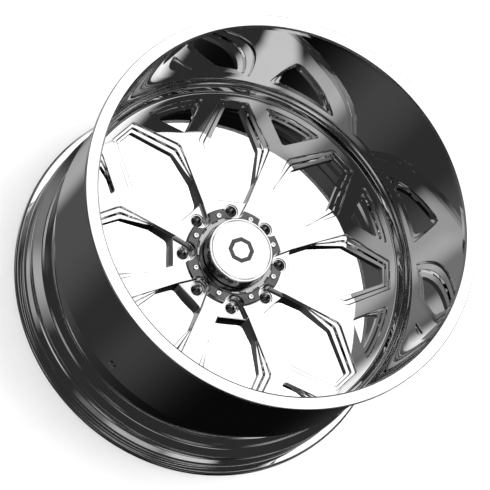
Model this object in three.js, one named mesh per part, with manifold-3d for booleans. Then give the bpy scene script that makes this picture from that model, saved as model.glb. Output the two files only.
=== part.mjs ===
// Deep-dish forged racing wheel, 26 x 16 inch, eight Y-shaped spokes, 8 x 180 mm bolt circle.
// Millimetres. The wheel lies on its inboard flange: +Z is the axle line, pointing outboard, and
// the origin is the middle of the rim's overall width. Windows sit at multiples of 45 degrees.
import * as THREE from "three";
import { mergeVertices } from "three/addons/utils/BufferGeometryUtils.js";
import Module from "manifold-3d";

const wasm = await Module();
wasm.setup();

// ---------------------------------------------------------------- driving dimensions
const SPOKES = 8;
const FIT_GAP = 0.3; // clearance between pieces that touch
const ROUND_SEGMENTS = 64; // facets round the rim
const CAP_SEGMENTS = 40; // facets round the centre cap
const SMALL_SEGMENTS = 12; // facets round a small turned piece

const FLANGE_RADIUS = 350;
const OVERALL_WIDTH = 430;
const FLANGE_THICKNESS = 12;
const FLANGE_HEIGHT = 17.4; // from the bead seat to the flange's rim
const BEAD_SEAT_LENGTH = 24;
const BEAD_SEAT_FALL = 1.6;
const HUMP_HEIGHT = 2.2;
const HUMP_LENGTH = 9;
const LIP_SETBACK = 3.3; // inner edge of the polished lip, below the bead seat
const LIP_STEP = 2.3; // small step just inside the polished lip
const DISH_SETBACK = 11.8; // dish wall where it meets the centre disc, below the bead seat
const REAR_MOUTH_SETBACK = 9.2;
const WELL_DEPTH = 15.6; // drop centre, below the bead seat
const WELL_WALL_REACH = 67; // from the rear face to the wall of the drop centre
const SHOULDER_SETBACK = 2.8; // outside, where the well ramp ends
const SHOULDER_Z = -30;
const BARREL_WALL = 8;

const PAD_Z = -101; // mounting pad: the wheel's offset from the middle of its width
const PAD_SETBACK = 5; // the pad's edge, inside the hub's
const HUB_MARGIN = 19; // from the lug circle to the outer end of the pocket floors
const HUB_THICKNESS = 56.4; // from the pad to the face under the cap ring
const FACE_RISE = 7.6; // how far the fork of a spoke stands in front of the hub's face
const DISC_EDGE_HEIGHT = 14; // the disc's edge, in front of the face
const DISC_EDGE_THICKNESS = 23; // behind the face
const SPOKE_THICKNESS = 25; // at the fork, behind the face
const SPOKE_ROOT_THICKNESS = 48; // at the hub, behind the face
const WELD_LEG = 5.5;

const SPOKE_ROOT_WIDTH = 30.6;
const SPOKE_FORK_WIDTH = 36;
const FORK_SHARE = 0.55; // the fork's place between the hub (0) and the window's rim end (1)
const WINDOW_MARGIN = 26; // from the disc's edge to the rim end of a big window
const WINDOW_END_WIDTH = 54;
const FORK_MARGIN = 24.5; // from the disc's edge to the base of a fork window
const FORK_BASE_WIDTH = 116;
const FORK_CROTCH = 16; // metal between the shoulders of the windows and the fork window's tip
const LEDGE_DEPTHS = [4.5, 9.5]; // how far each terrace round a window lies below the face
const LEDGE_SIDE_WIDTH = 10.5;
const LEDGE_END_WIDTH = 5.8;
const LEDGE_END_SHARE = 0.62; // where the terraces run out, from the fork (0) to the hub (1)

const LUG_CIRCLE_RADIUS = 90;
const LUG_HOLE_RADIUS = 8.2;
const LUG_SEAT_RADIUS = 13;
const LUG_SEAT_DEPTH = 4.8;
const POCKET_RADIUS = 17.5;
const POCKET_DEPTH = 10.8; // below the hub's face

const RING_THICKNESS = 6.2;
const RING_SETBACK = 1; // the ring's edge, inside the lug circle
const RING_COLLAR_WIDTH = 9;
const RING_COLLAR_HEIGHT = 3;
const RING_SCALLOP_RADIUS = 19;
const RING_NOTCHES = 16;
const NOTCH_WIDTH = 13;
const NOTCH_DEPTH = 3.2;
const SCREW_SETBACK = 11.5; // from the ring's edge to its screws
const SCREW_RADIUS = 3;
const SCREW_HEAD_RADIUS = 5.2;
const SCREW_HEAD_HEIGHT = 3.3;
const SCREW_LENGTH = 18;
const SCREW_SOCKET_RADIUS = 2.3;
const SCREW_SOCKET_DEPTH = 2;
const SCREW_SINK = 1.4; // depth of the spot face under each screw head

const CAP_HEIGHT = 33.8; // of the cap's face above the ring
const CAP_SETBACK = 30.5; // from the lug circle to the cap's foot
const CAP_TAPER = 1; // how much wider the cap is at its foot
const CAP_RING_CLEARANCE = 1.6;
const CAP_WALL = 3.5;
const CAP_FLANGE_WIDTH = 7;
const CAP_SEAT_WIDTH = 3.9; // how far the cap's flange laps over the edge of the hub's bore
const CAP_FLANGE_THICKNESS = 2.3;
const CAP_FACE_THICKNESS = 3.2;
const CAP_GROOVE_SETBACK = 4.7;
const CAP_GROOVE_WIDTH = 1.4;
const CAP_GROOVE_DEPTH = 0.8;
const SEAL_SECTION = 0.95; // half the thickness of the cap's O-ring

const EMBLEM_OUTER = 24;
const EMBLEM_INNER = 16;
const EMBLEM_DEPTH = 1.2;
const EMBLEM_PROUD = 0.4;

const VALVE_RISE = 33; // the valve hole, in front of the face
const VALVE_ANGLE = -Math.PI / 2;
const VALVE_HOLE_CLEARANCE = 1.85;
const STEM_RADIUS = 3.9;
const STEM_REACH = 38; // from the dish wall to the stem's mouth
const STEM_FLANGE_RADIUS = 7.6;
const STEM_FLANGE_THICKNESS = 2;
const GROMMET_THICKNESS = 2.4;
const NUT_HEIGHT = 5;
const NUT_WALL = 4.5;
const STEM_BORE_RADIUS = 2.75;
const STEM_BORE_DEPTH = 25;
const AIR_HOLE_RADIUS = 1.2;
const CORE_CLEARANCE = 0.4;
const CORE_BORE_RADIUS = 1;
const CORE_LENGTH = 9;
const CORE_DEPTH = 3.2; // from the stem's mouth to the valve core
const PIN_RADIUS = 0.6;
const PIN_PROUD = 2.2; // how far the pin stands out of its core
const PIN_COLLAR_WIDTH = 1.3;
const PIN_COLLAR_THICKNESS = 1.2;
const PIN_SEAL_THICKNESS = 1;
const SPRING_WIRE_RADIUS = 0.3;
const SPRING_TURNS = 4;
const VALVE_CAP_WALL = 1.2;
const VALVE_CAP_LENGTH = 11;
const VALVE_CAP_END = 1.6;
const VALVE_CAP_SEAL = 0.9;

// ---------------------------------------------------------------- sizes that follow from them
const FRONT_Z = OVERALL_WIDTH / 2;
const REAR_Z = -OVERALL_WIDTH / 2;
const BEAD_SEAT_RADIUS = FLANGE_RADIUS - FLANGE_HEIGHT;
const LIP_INNER_RADIUS = BEAD_SEAT_RADIUS - LIP_SETBACK;
const DISH_RADIUS = BEAD_SEAT_RADIUS - DISH_SETBACK;
const DISH_MOUTH_RADIUS = LIP_INNER_RADIUS - LIP_STEP;
const REAR_MOUTH_RADIUS = BEAD_SEAT_RADIUS - REAR_MOUTH_SETBACK;
const WELL_RADIUS = BEAD_SEAT_RADIUS - WELL_DEPTH;
const WELL_WALL_Z = REAR_Z + WELL_WALL_REACH;
const SHOULDER_RADIUS = BEAD_SEAT_RADIUS - SHOULDER_SETBACK;
const DISC_RADIUS = DISH_RADIUS - FIT_GAP;

const HUB_RADIUS = LUG_CIRCLE_RADIUS + HUB_MARGIN;
const PAD_RADIUS = HUB_RADIUS - PAD_SETBACK;
const HUB_FACE_Z = PAD_Z + HUB_THICKNESS;
const FACE_Z = HUB_FACE_Z + FACE_RISE;
const POCKET_FLOOR_Z = HUB_FACE_Z - POCKET_DEPTH;
const DISC_BACK_Z = FACE_Z - DISC_EDGE_THICKNESS;
const WINDOW_END_Y = DISC_RADIUS - WINDOW_MARGIN;
const FORK_Y = HUB_RADIUS + FORK_SHARE * (WINDOW_END_Y - HUB_RADIUS);

const RING_BOTTOM_Z = HUB_FACE_Z + FIT_GAP;
const RING_TOP_Z = RING_BOTTOM_Z + RING_THICKNESS;
const COLLAR_TOP_Z = RING_TOP_Z + RING_COLLAR_HEIGHT;
const CAP_TOP_Z = RING_TOP_Z + CAP_HEIGHT;
const CAP_BASE_RADIUS = LUG_CIRCLE_RADIUS - CAP_SETBACK;
const CAP_TOP_RADIUS = CAP_BASE_RADIUS - CAP_TAPER;
const CAP_GROOVE_RADIUS = CAP_TOP_RADIUS - CAP_GROOVE_SETBACK;
const CAP_FLANGE_RADIUS = CAP_BASE_RADIUS + CAP_FLANGE_WIDTH;
const CAP_FACE_BACK_Z = CAP_TOP_Z - CAP_FACE_THICKNESS;
const BORE_RADIUS = CAP_FLANGE_RADIUS - CAP_SEAT_WIDTH;
const RING_BORE_RADIUS = CAP_BASE_RADIUS + CAP_RING_CLEARANCE;
const RING_COLLAR_RADIUS = RING_BORE_RADIUS + RING_COLLAR_WIDTH;
const RING_OUTER_RADIUS = LUG_CIRCLE_RADIUS - RING_SETBACK;
const SCREW_CIRCLE_RADIUS = RING_OUTER_RADIUS - SCREW_SETBACK;

const STEP_ANGLE = (2 * Math.PI) / SPOKES;
const HALF_STEP = STEP_ANGLE / 2;

// ---------------------------------------------------------------- solids
// A closed geometry as a manifold solid, turned outward if its profile ran the other way.
function solid(geometry) {
  const bare = geometry.clone();
  bare.deleteAttribute("normal");
  bare.deleteAttribute("uv");
  const merged = mergeVertices(bare, 1e-4);
  const vertProperties = new Float32Array(merged.attributes.position.array);
  const triVerts = new Uint32Array(merged.index.array);
  const make = () => new wasm.Manifold(new wasm.Mesh({ numProp: 3, vertProperties, triVerts }));
  const made = make();
  if (made.volume() > 0) return made;
  for (let i = 0; i < triVerts.length; i += 3) {
    [triVerts[i + 1], triVerts[i + 2]] = [triVerts[i + 2], triVerts[i + 1]];
  }
  return make();
}

// A solid of revolution about Z from [radius, z] pairs that close on themselves or on the axis.
function turned(profile, segments = ROUND_SEGMENTS) {
  const points = profile.map(([radius, z]) => new THREE.Vector2(radius, z));
  if (profile.every(([radius]) => radius > 0)) points.push(points[0].clone());
  return solid(new THREE.LatheGeometry(points, segments).rotateX(Math.PI / 2));
}

// A straight prism between two heights on an outline of THREE.Vector2 points.
function prism(outline, lowZ, highZ) {
  const shape = new THREE.Shape(outline);
  const depth = highZ - lowZ;
  return solid(new THREE.ExtrudeGeometry(shape, { depth, bevelEnabled: false }).translate(0, 0, lowZ));
}

function moved(body, x, y, z) {
  return body.translate([x, y, z]);
}

function spun(body, angle) {
  return body.rotate([0, 0, THREE.MathUtils.radToDeg(angle)]);
}

// The same cutter repeated round the axis, taken out of a body.
function cutAround(body, cutter, count = SPOKES, firstAngle = 0) {
  let left = body;
  for (let i = 0; i < count; i += 1) {
    left = left.subtract(spun(cutter, firstAngle + (i * 2 * Math.PI) / count));
  }
  return left;
}

// An outline with rounded corners, from [x, y, corner radius] triples in order.
function roundedOutline(corners, arcSteps = 2) {
  const outline = [];
  corners.forEach(([x, y, radius], i) => {
    const corner = new THREE.Vector2(x, y);
    const before = new THREE.Vector2(...corners.at(i - 1).slice(0, 2)).sub(corner).normalize();
    const after = new THREE.Vector2(...corners[(i + 1) % corners.length].slice(0, 2)).sub(corner).normalize();
    if (!radius) {
      outline.push(corner);
      return;
    }
    const half = Math.acos(THREE.MathUtils.clamp(before.dot(after), -1, 1)) / 2;
    const reach = radius / Math.tan(half);
    const start = corner.clone().addScaledVector(before, reach);
    const end = corner.clone().addScaledVector(after, reach);
    for (let k = 0; k <= arcSteps; k += 1) {
      const t = k / arcSteps;
      const a = start.clone().lerp(corner, t);
      const b = corner.clone().lerp(end, t);
      outline.push(a.lerp(b, t));
    }
  });
  return outline;
}

// A mirror-image outline about the Y axis, from its right-hand corners listed top to bottom.
function mirrored(rightSide) {
  const leftSide = rightSide.map(([x, y, radius]) => [-x, y, radius]);
  return roundedOutline([...rightSide, ...leftSide.reverse()]);
}

// ---------------------------------------------------------------- barrel
const LIP_BACK_Z = FRONT_Z - FLANGE_THICKNESS;

const dishRadiusAt = (z) => {
  const share = (z - FACE_Z) / (LIP_BACK_Z - FACE_Z);
  return DISH_RADIUS + share * (DISH_MOUTH_RADIUS - DISH_RADIUS);
};

function barrelBody() {
  const seatEnd = FLANGE_THICKNESS + BEAD_SEAT_LENGTH;
  const seatFoot = BEAD_SEAT_RADIUS - BEAD_SEAT_FALL;
  const humpRadius = seatFoot + HUMP_HEIGHT;
  const innerWell = WELL_RADIUS - BARREL_WALL;
  const rimEdge = 2;
  const flangeRoll = 4;
  const outside = [
    [FLANGE_RADIUS - rimEdge, FRONT_Z],
    [FLANGE_RADIUS, FRONT_Z - rimEdge],
    [FLANGE_RADIUS, LIP_BACK_Z + flangeRoll],
    [FLANGE_RADIUS - flangeRoll, LIP_BACK_Z],
    [BEAD_SEAT_RADIUS, LIP_BACK_Z],
    [seatFoot, FRONT_Z - seatEnd],
    [humpRadius, FRONT_Z - seatEnd - HUMP_LENGTH / 2],
    [seatFoot, FRONT_Z - seatEnd - HUMP_LENGTH],
    [SHOULDER_RADIUS, SHOULDER_Z],
    [WELL_RADIUS, WELL_WALL_Z + 4],
    [humpRadius, WELL_WALL_Z - 3],
    [seatFoot, REAR_Z + seatEnd + HUMP_LENGTH],
    [humpRadius, REAR_Z + seatEnd + HUMP_LENGTH / 2],
    [seatFoot, REAR_Z + seatEnd],
    [BEAD_SEAT_RADIUS, REAR_Z + FLANGE_THICKNESS],
    [FLANGE_RADIUS - flangeRoll, REAR_Z + FLANGE_THICKNESS],
    [FLANGE_RADIUS, REAR_Z + FLANGE_THICKNESS - flangeRoll],
    [FLANGE_RADIUS, REAR_Z + rimEdge],
    [FLANGE_RADIUS - rimEdge, REAR_Z],
  ];
  const inside = [
    [REAR_MOUTH_RADIUS, REAR_Z],
    [REAR_MOUTH_RADIUS - 1.5, WELL_WALL_Z - 14],
    [innerWell, WELL_WALL_Z + 6],
    [innerWell, WELL_WALL_Z + 30],
    [DISH_RADIUS, DISC_BACK_Z - 2 * WELD_LEG],
    [DISH_RADIUS, FACE_Z],
    [DISH_MOUTH_RADIUS, LIP_BACK_Z],
    [DISH_MOUTH_RADIUS, FRONT_Z - LIP_STEP],
    [LIP_INNER_RADIUS, FRONT_Z],
  ];
  return turned([...outside, ...inside]).subtract(valveHoleCutter());
}

// ---------------------------------------------------------------- centre disc
// Half-width of a big window at height y, beside a spoke of the given width.
const besideSpoke = (y, spokeWidth) => {
  return (y * Math.sin(HALF_STEP) - spokeWidth / 2) / Math.cos(HALF_STEP);
};

// Each window is three nested outlines: at the face, and at the inner edge of each terrace.
function bigWindowOutline(terrace) {
  const rootX = besideSpoke(HUB_RADIUS, SPOKE_ROOT_WIDTH);
  const forkX = besideSpoke(FORK_Y, SPOKE_FORK_WIDTH);
  const runOutX = THREE.MathUtils.lerp(forkX, rootX, LEDGE_END_SHARE);
  const runOutY = THREE.MathUtils.lerp(FORK_Y, HUB_RADIUS, LEDGE_END_SHARE);
  const inset = terrace * 0.4;
  return mirrored([
    [WINDOW_END_WIDTH / 2 - terrace * 1.1 * LEDGE_END_WIDTH, WINDOW_END_Y - terrace * LEDGE_END_WIDTH, 4],
    [forkX - terrace * LEDGE_SIDE_WIDTH, FORK_Y - terrace * 1.5, 14 - 2 * terrace],
    [runOutX - inset, runOutY, 0],
    [rootX - inset, HUB_RADIUS, 0],
  ]);
}

function forkWindowOutline(terrace) {
  const forkX = besideSpoke(FORK_Y, SPOKE_FORK_WIDTH);
  const apexY = Math.hypot(forkX, FORK_Y) + FORK_CROTCH;
  const baseRadius = DISC_RADIUS - FORK_MARGIN - terrace * 6.5;
  const cornerX = FORK_BASE_WIDTH / 2 - terrace * 10.8;
  const sweep = Math.asin(cornerX / baseRadius);
  const arcSteps = 6;
  const base = Array.from({ length: arcSteps + 1 }, (_, i) => {
    const angle = sweep * (1 - (2 * i) / arcSteps);
    return new THREE.Vector2(baseRadius * Math.sin(angle), baseRadius * Math.cos(angle));
  });
  const joinX = FORK_BASE_WIDTH * 0.207 - terrace * 0.3;
  const joinY = THREE.MathUtils.lerp(apexY, DISC_RADIUS - FORK_MARGIN, 0.37);
  const tip = roundedOutline([
    [-joinX, joinY, 0],
    [0, apexY, 6],
    [joinX, joinY, 0],
  ]);
  return [...base, ...tip];
}

function windowCutter(outlineAt) {
  const [upperLedgeZ, lowerLedgeZ] = LEDGE_DEPTHS.map((depth) => FACE_Z - depth);
  const through = prism(outlineAt(2), PAD_Z - 1, lowerLedgeZ);
  const lower = prism(outlineAt(1), lowerLedgeZ, upperLedgeZ);
  const upper = prism(outlineAt(0), upperLedgeZ, FRONT_Z);
  return through.add(lower).add(upper);
}

function lugCutter() {
  const half = besideSpoke(HUB_RADIUS, SPOKE_ROOT_WIDTH);
  const round = new THREE.Path().absarc(0, LUG_CIRCLE_RADIUS, POCKET_RADIUS, 0, -Math.PI, true);
  const outline = [
    new THREE.Vector2(-half, HUB_RADIUS + 1),
    new THREE.Vector2(half, HUB_RADIUS + 1),
    ...round.getPoints(6),
  ];
  const pocket = prism(outline, POCKET_FLOOR_Z, FRONT_Z);
  const seat = turned(
    [
      [0, PAD_Z - 1],
      [LUG_HOLE_RADIUS, PAD_Z - 1],
      [LUG_HOLE_RADIUS, POCKET_FLOOR_Z - LUG_SEAT_DEPTH],
      [LUG_SEAT_RADIUS, POCKET_FLOOR_Z],
      [LUG_SEAT_RADIUS, POCKET_FLOOR_Z + 1],
      [0, POCKET_FLOOR_Z + 1],
    ],
    SMALL_SEGMENTS,
  );
  return pocket.add(moved(seat, 0, LUG_CIRCLE_RADIUS, 0));
}

function screwHoleCutter() {
  const depth = RING_TOP_Z - SCREW_SINK - SCREW_LENGTH - 2;
  const hole = turned(
    [
      [0, depth],
      [SCREW_RADIUS + FIT_GAP, depth],
      [SCREW_RADIUS + FIT_GAP, HUB_FACE_Z + 1],
      [0, HUB_FACE_Z + 1],
    ],
    SMALL_SEGMENTS,
  );
  return moved(hole, 0, SCREW_CIRCLE_RADIUS, 0);
}

function discBody() {
  const edgeTopZ = FACE_Z + DISC_EDGE_HEIGHT;
  const filletFoot = DISC_RADIUS - 19.5;
  const forkRadius = Math.hypot(besideSpoke(FORK_Y, SPOKE_FORK_WIDTH), FORK_Y);
  const body = turned([
    [BORE_RADIUS, HUB_FACE_Z],
    [HUB_RADIUS, HUB_FACE_Z],
    [forkRadius, FACE_Z],
    [filletFoot, FACE_Z],
    [filletFoot + 6, FACE_Z + 1.5],
    [filletFoot + 11, FACE_Z + 6],
    [filletFoot + 13.5, edgeTopZ - 1],
    [DISC_RADIUS, edgeTopZ],
    [DISC_RADIUS, DISC_BACK_Z],
    [WINDOW_END_Y - 3, DISC_BACK_Z],
    [forkRadius - 10, FACE_Z - SPOKE_THICKNESS],
    [(forkRadius + HUB_RADIUS) / 2, FACE_Z - (SPOKE_THICKNESS + SPOKE_ROOT_THICKNESS) / 2],
    [HUB_RADIUS + 6, FACE_Z - SPOKE_ROOT_THICKNESS],
    [PAD_RADIUS, PAD_Z + 3],
    [PAD_RADIUS - 3, PAD_Z],
    [BORE_RADIUS, PAD_Z],
  ]);
  const opened = cutAround(body, windowCutter(bigWindowOutline));
  const forked = cutAround(opened, windowCutter(forkWindowOutline), SPOKES, HALF_STEP);
  const lugged = cutAround(forked, lugCutter());
  return cutAround(lugged, screwHoleCutter(), SPOKES, HALF_STEP);
}

// Weld bead in the corner between the disc's rim and the barrel, one on each side of the disc.
function weldBead(cornerZ, side) {
  const outer = DISC_RADIUS;
  const foot = cornerZ + side * FIT_GAP;
  return turned([
    [outer, foot],
    [outer, foot + side * WELD_LEG],
    [outer - WELD_LEG * 0.45, foot + side * WELD_LEG * 0.75],
    [outer - WELD_LEG, foot],
  ]);
}

// ---------------------------------------------------------------- centre cap
function capBaseRing() {
  const counterbore = CAP_FLANGE_RADIUS + FIT_GAP;
  const counterboreTop = RING_BOTTOM_Z + CAP_FLANGE_THICKNESS + 2 * SEAL_SECTION + 2 * FIT_GAP;
  const body = turned([
    [counterbore, RING_BOTTOM_Z],
    [counterbore, counterboreTop],
    [RING_BORE_RADIUS, counterboreTop],
    [RING_BORE_RADIUS, COLLAR_TOP_Z],
    [RING_COLLAR_RADIUS, COLLAR_TOP_Z],
    [RING_COLLAR_RADIUS, RING_TOP_Z],
    [RING_OUTER_RADIUS - 1.5, RING_TOP_Z],
    [RING_OUTER_RADIUS, RING_TOP_Z - 1.5],
    [RING_OUTER_RADIUS, RING_BOTTOM_Z],
  ], CAP_SEGMENTS);
  const scallop = turned(
    [
      [0, RING_BOTTOM_Z - 1],
      [RING_SCALLOP_RADIUS, RING_BOTTOM_Z - 1],
      [RING_SCALLOP_RADIUS, COLLAR_TOP_Z + 1],
      [0, COLLAR_TOP_Z + 1],
    ],
    2 * SMALL_SEGMENTS,
  );
  const spotFace = RING_TOP_Z - SCREW_SINK;
  const screwHole = turned(
    [
      [0, RING_BOTTOM_Z - 1],
      [SCREW_RADIUS + FIT_GAP, RING_BOTTOM_Z - 1],
      [SCREW_RADIUS + FIT_GAP, spotFace],
      [SCREW_HEAD_RADIUS + FIT_GAP, spotFace],
      [SCREW_HEAD_RADIUS + FIT_GAP, RING_TOP_Z + 1],
      [0, RING_TOP_Z + 1],
    ],
    SMALL_SEGMENTS,
  );
  const notch = new THREE.BoxGeometry(NOTCH_WIDTH, NOTCH_DEPTH, 2 * RING_COLLAR_HEIGHT);
  const notchCutter = moved(solid(notch), 0, RING_COLLAR_RADIUS - NOTCH_DEPTH / 2 + 0.2, COLLAR_TOP_Z);
  const scalloped = cutAround(body, moved(scallop, 0, LUG_CIRCLE_RADIUS, 0));
  const drilled = cutAround(scalloped, moved(screwHole, 0, SCREW_CIRCLE_RADIUS, 0), SPOKES, HALF_STEP);
  return cutAround(drilled, notchCutter, RING_NOTCHES, Math.PI / RING_NOTCHES);
}

function capHousing() {
  const flangeTop = RING_BOTTOM_Z + CAP_FLANGE_THICKNESS;
  return turned([
    [CAP_BASE_RADIUS - CAP_WALL, RING_BOTTOM_Z],
    [CAP_FLANGE_RADIUS, RING_BOTTOM_Z],
    [CAP_FLANGE_RADIUS, flangeTop],
    [CAP_BASE_RADIUS, flangeTop],
    [CAP_BASE_RADIUS, COLLAR_TOP_Z + 2],
    [CAP_TOP_RADIUS, CAP_FACE_BACK_Z - FIT_GAP],
    [CAP_TOP_RADIUS - CAP_WALL, CAP_FACE_BACK_Z - FIT_GAP],
  ], CAP_SEGMENTS);
}

function capFace() {
  const grooveInner = CAP_GROOVE_RADIUS - CAP_GROOVE_WIDTH / 2;
  const grooveOuter = CAP_GROOVE_RADIUS + CAP_GROOVE_WIDTH / 2;
  const spigot = CAP_TOP_RADIUS - CAP_WALL - FIT_GAP;
  const body = turned([
    [0, CAP_FACE_BACK_Z - 2],
    [spigot, CAP_FACE_BACK_Z - 2],
    [spigot, CAP_FACE_BACK_Z],
    [CAP_TOP_RADIUS, CAP_FACE_BACK_Z],
    [CAP_TOP_RADIUS, CAP_TOP_Z - 1],
    [CAP_TOP_RADIUS - 1, CAP_TOP_Z],
    [grooveOuter, CAP_TOP_Z],
    [grooveOuter, CAP_TOP_Z - CAP_GROOVE_DEPTH],
    [grooveInner, CAP_TOP_Z - CAP_GROOVE_DEPTH],
    [grooveInner, CAP_TOP_Z],
    [0, CAP_TOP_Z],
  ], CAP_SEGMENTS);
  return body.subtract(octagonRing(FIT_GAP, CAP_TOP_Z - EMBLEM_DEPTH - FIT_GAP, CAP_TOP_Z + 1));
}

// A plain eight-sided ring, one side for each spoke, grown by a clearance on both sides.
function octagonRing(clearance, lowZ, highZ) {
  const outer = EMBLEM_OUTER + clearance;
  const inner = EMBLEM_INNER - clearance;
  return turned(
    [
      [outer, lowZ],
      [outer, highZ],
      [inner, highZ],
      [inner, lowZ],
    ],
    SPOKES,
  );
}

function capEmblem() {
  return octagonRing(0, CAP_TOP_Z - EMBLEM_DEPTH, CAP_TOP_Z + EMBLEM_PROUD);
}

function capSeal() {
  const middleZ = RING_BOTTOM_Z + CAP_FLANGE_THICKNESS + FIT_GAP + SEAL_SECTION;
  const middleRadius = CAP_BASE_RADIUS + FIT_GAP + SEAL_SECTION + 1;
  const sides = 6;
  const section = Array.from({ length: sides }, (_, i) => {
    const angle = (i * 2 * Math.PI) / sides;
    return [middleRadius + SEAL_SECTION * Math.cos(angle), middleZ + SEAL_SECTION * Math.sin(angle)];
  });
  return turned(section, CAP_SEGMENTS);
}

function capScrew() {
  const seat = RING_TOP_Z - SCREW_SINK + FIT_GAP;
  const top = seat + SCREW_HEAD_HEIGHT;
  const tip = seat - SCREW_LENGTH;
  const body = turned(
    [
      [0, tip],
      [SCREW_RADIUS - 0.8, tip],
      [SCREW_RADIUS, tip + 1],
      [SCREW_RADIUS, seat],
      [SCREW_HEAD_RADIUS, seat],
      [SCREW_HEAD_RADIUS, seat + 1],
      [SCREW_HEAD_RADIUS - 1.4, top - 0.5],
      [SCREW_HEAD_RADIUS - 2.4, top],
      [0, top],
    ],
    12,
  );
  const socket = turned(
    [
      [0, top - SCREW_SOCKET_DEPTH],
      [SCREW_SOCKET_RADIUS, top - SCREW_SOCKET_DEPTH],
      [SCREW_SOCKET_RADIUS, top + 1],
      [0, top + 1],
    ],
    6,
  );
  return body.subtract(socket);
}

// ---------------------------------------------------------------- tyre valve
// Valve pieces are turned about a radial line; u is the distance from the wheel's axis.
function valveTurned(profile, segments = SMALL_SEGMENTS) {
  return onValveLine(turned(profile, segments));
}

function onValveLine(body) {
  const tipped = body.rotate([0, 90, 0]);
  return moved(spun(tipped, VALVE_ANGLE), 0, 0, VALVE_Z);
}

const VALVE_Z = FACE_Z + VALVE_RISE;
const WALL_INSIDE = dishRadiusAt(VALVE_Z) + 0.4; // flat spot faces let the seals sit square
const WALL_OUTSIDE = SHOULDER_RADIUS - 1;
const STEM_TIP = WALL_INSIDE - STEM_REACH; // places along the valve are radii from the axle line
const CORE_RADIUS = STEM_BORE_RADIUS - CORE_CLEARANCE;
const PIN_COLLAR_RADIUS = PIN_RADIUS + PIN_COLLAR_WIDTH;
const INNER_GROMMET = WALL_OUTSIDE + FIT_GAP;
const STEM_FLANGE = INNER_GROMMET + GROMMET_THICKNESS + FIT_GAP;
const STEM_END = STEM_FLANGE + STEM_FLANGE_THICKNESS;
const OUTER_GROMMET = WALL_INSIDE - FIT_GAP;
const NUT_SEAT = OUTER_GROMMET - GROMMET_THICKNESS - FIT_GAP;
const CORE_START = STEM_TIP + CORE_DEPTH;
const CORE_END = CORE_START + CORE_LENGTH;
const PIN_SEAL_START = CORE_END + FIT_GAP;
const PIN_COLLAR_START = PIN_SEAL_START + PIN_SEAL_THICKNESS + FIT_GAP;
const SPRING_START = PIN_COLLAR_START + PIN_COLLAR_THICKNESS + FIT_GAP;
const SPRING_END = STEM_TIP + STEM_BORE_DEPTH - FIT_GAP;

function tube(outer, inner, start, end) {
  return valveTurned([
    [outer, start],
    [outer, end],
    [inner, end],
    [inner, start],
  ]);
}

// The valve hole, with the flats milled on both sides of the barrel wall round it.
function valveHoleCutter() {
  const hole = STEM_RADIUS + VALVE_HOLE_CLEARANCE;
  const seat = STEM_FLANGE_RADIUS + 1.5;
  const reach = 12;
  return valveTurned([
    [0, WALL_INSIDE - reach],
    [seat, WALL_INSIDE - reach],
    [seat, WALL_INSIDE],
    [hole, WALL_INSIDE],
    [hole, WALL_OUTSIDE],
    [seat, WALL_OUTSIDE],
    [seat, WALL_OUTSIDE + reach],
    [0, WALL_OUTSIDE + reach],
  ]);
}

function grommet(start) {
  return tube(STEM_FLANGE_RADIUS, STEM_RADIUS + FIT_GAP, start, start + GROMMET_THICKNESS);
}

function valveStem() {
  const boreEnd = STEM_TIP + STEM_BORE_DEPTH;
  return valveTurned([
    [STEM_BORE_RADIUS, STEM_TIP],
    [STEM_RADIUS - 0.5, STEM_TIP],
    [STEM_RADIUS, STEM_TIP + 1],
    [STEM_RADIUS, STEM_FLANGE],
    [STEM_FLANGE_RADIUS, STEM_FLANGE],
    [STEM_FLANGE_RADIUS, STEM_END],
    [AIR_HOLE_RADIUS, STEM_END],
    [AIR_HOLE_RADIUS, boreEnd],
    [STEM_BORE_RADIUS, boreEnd],
  ]);
}

function valveNut() {
  const hole = STEM_RADIUS + FIT_GAP;
  const hexRadius = hole + NUT_WALL;
  const hex = turned(
    [
      [0, NUT_SEAT - NUT_HEIGHT],
      [hexRadius, NUT_SEAT - NUT_HEIGHT],
      [hexRadius, NUT_SEAT],
      [0, NUT_SEAT],
    ],
    6,
  );
  const bore = turned(
    [
      [0, NUT_SEAT - 2 * NUT_HEIGHT],
      [hole, NUT_SEAT - 2 * NUT_HEIGHT],
      [hole, NUT_SEAT + 1],
      [0, NUT_SEAT + 1],
    ],
    SMALL_SEGMENTS,
  );
  return onValveLine(hex.subtract(bore));
}

function valvePin() {
  const start = CORE_START - PIN_PROUD;
  return valveTurned(
    [
      [0, start],
      [PIN_RADIUS, start],
      [PIN_RADIUS, PIN_COLLAR_START],
      [PIN_COLLAR_RADIUS, PIN_COLLAR_START],
      [PIN_COLLAR_RADIUS, PIN_COLLAR_START + PIN_COLLAR_THICKNESS],
      [0, PIN_COLLAR_START + PIN_COLLAR_THICKNESS],
    ],
    12,
  );
}

function valvePinSeal() {
  const end = PIN_SEAL_START + PIN_SEAL_THICKNESS;
  return tube(PIN_COLLAR_RADIUS, PIN_RADIUS + 0.2, PIN_SEAL_START, end);
}

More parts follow.
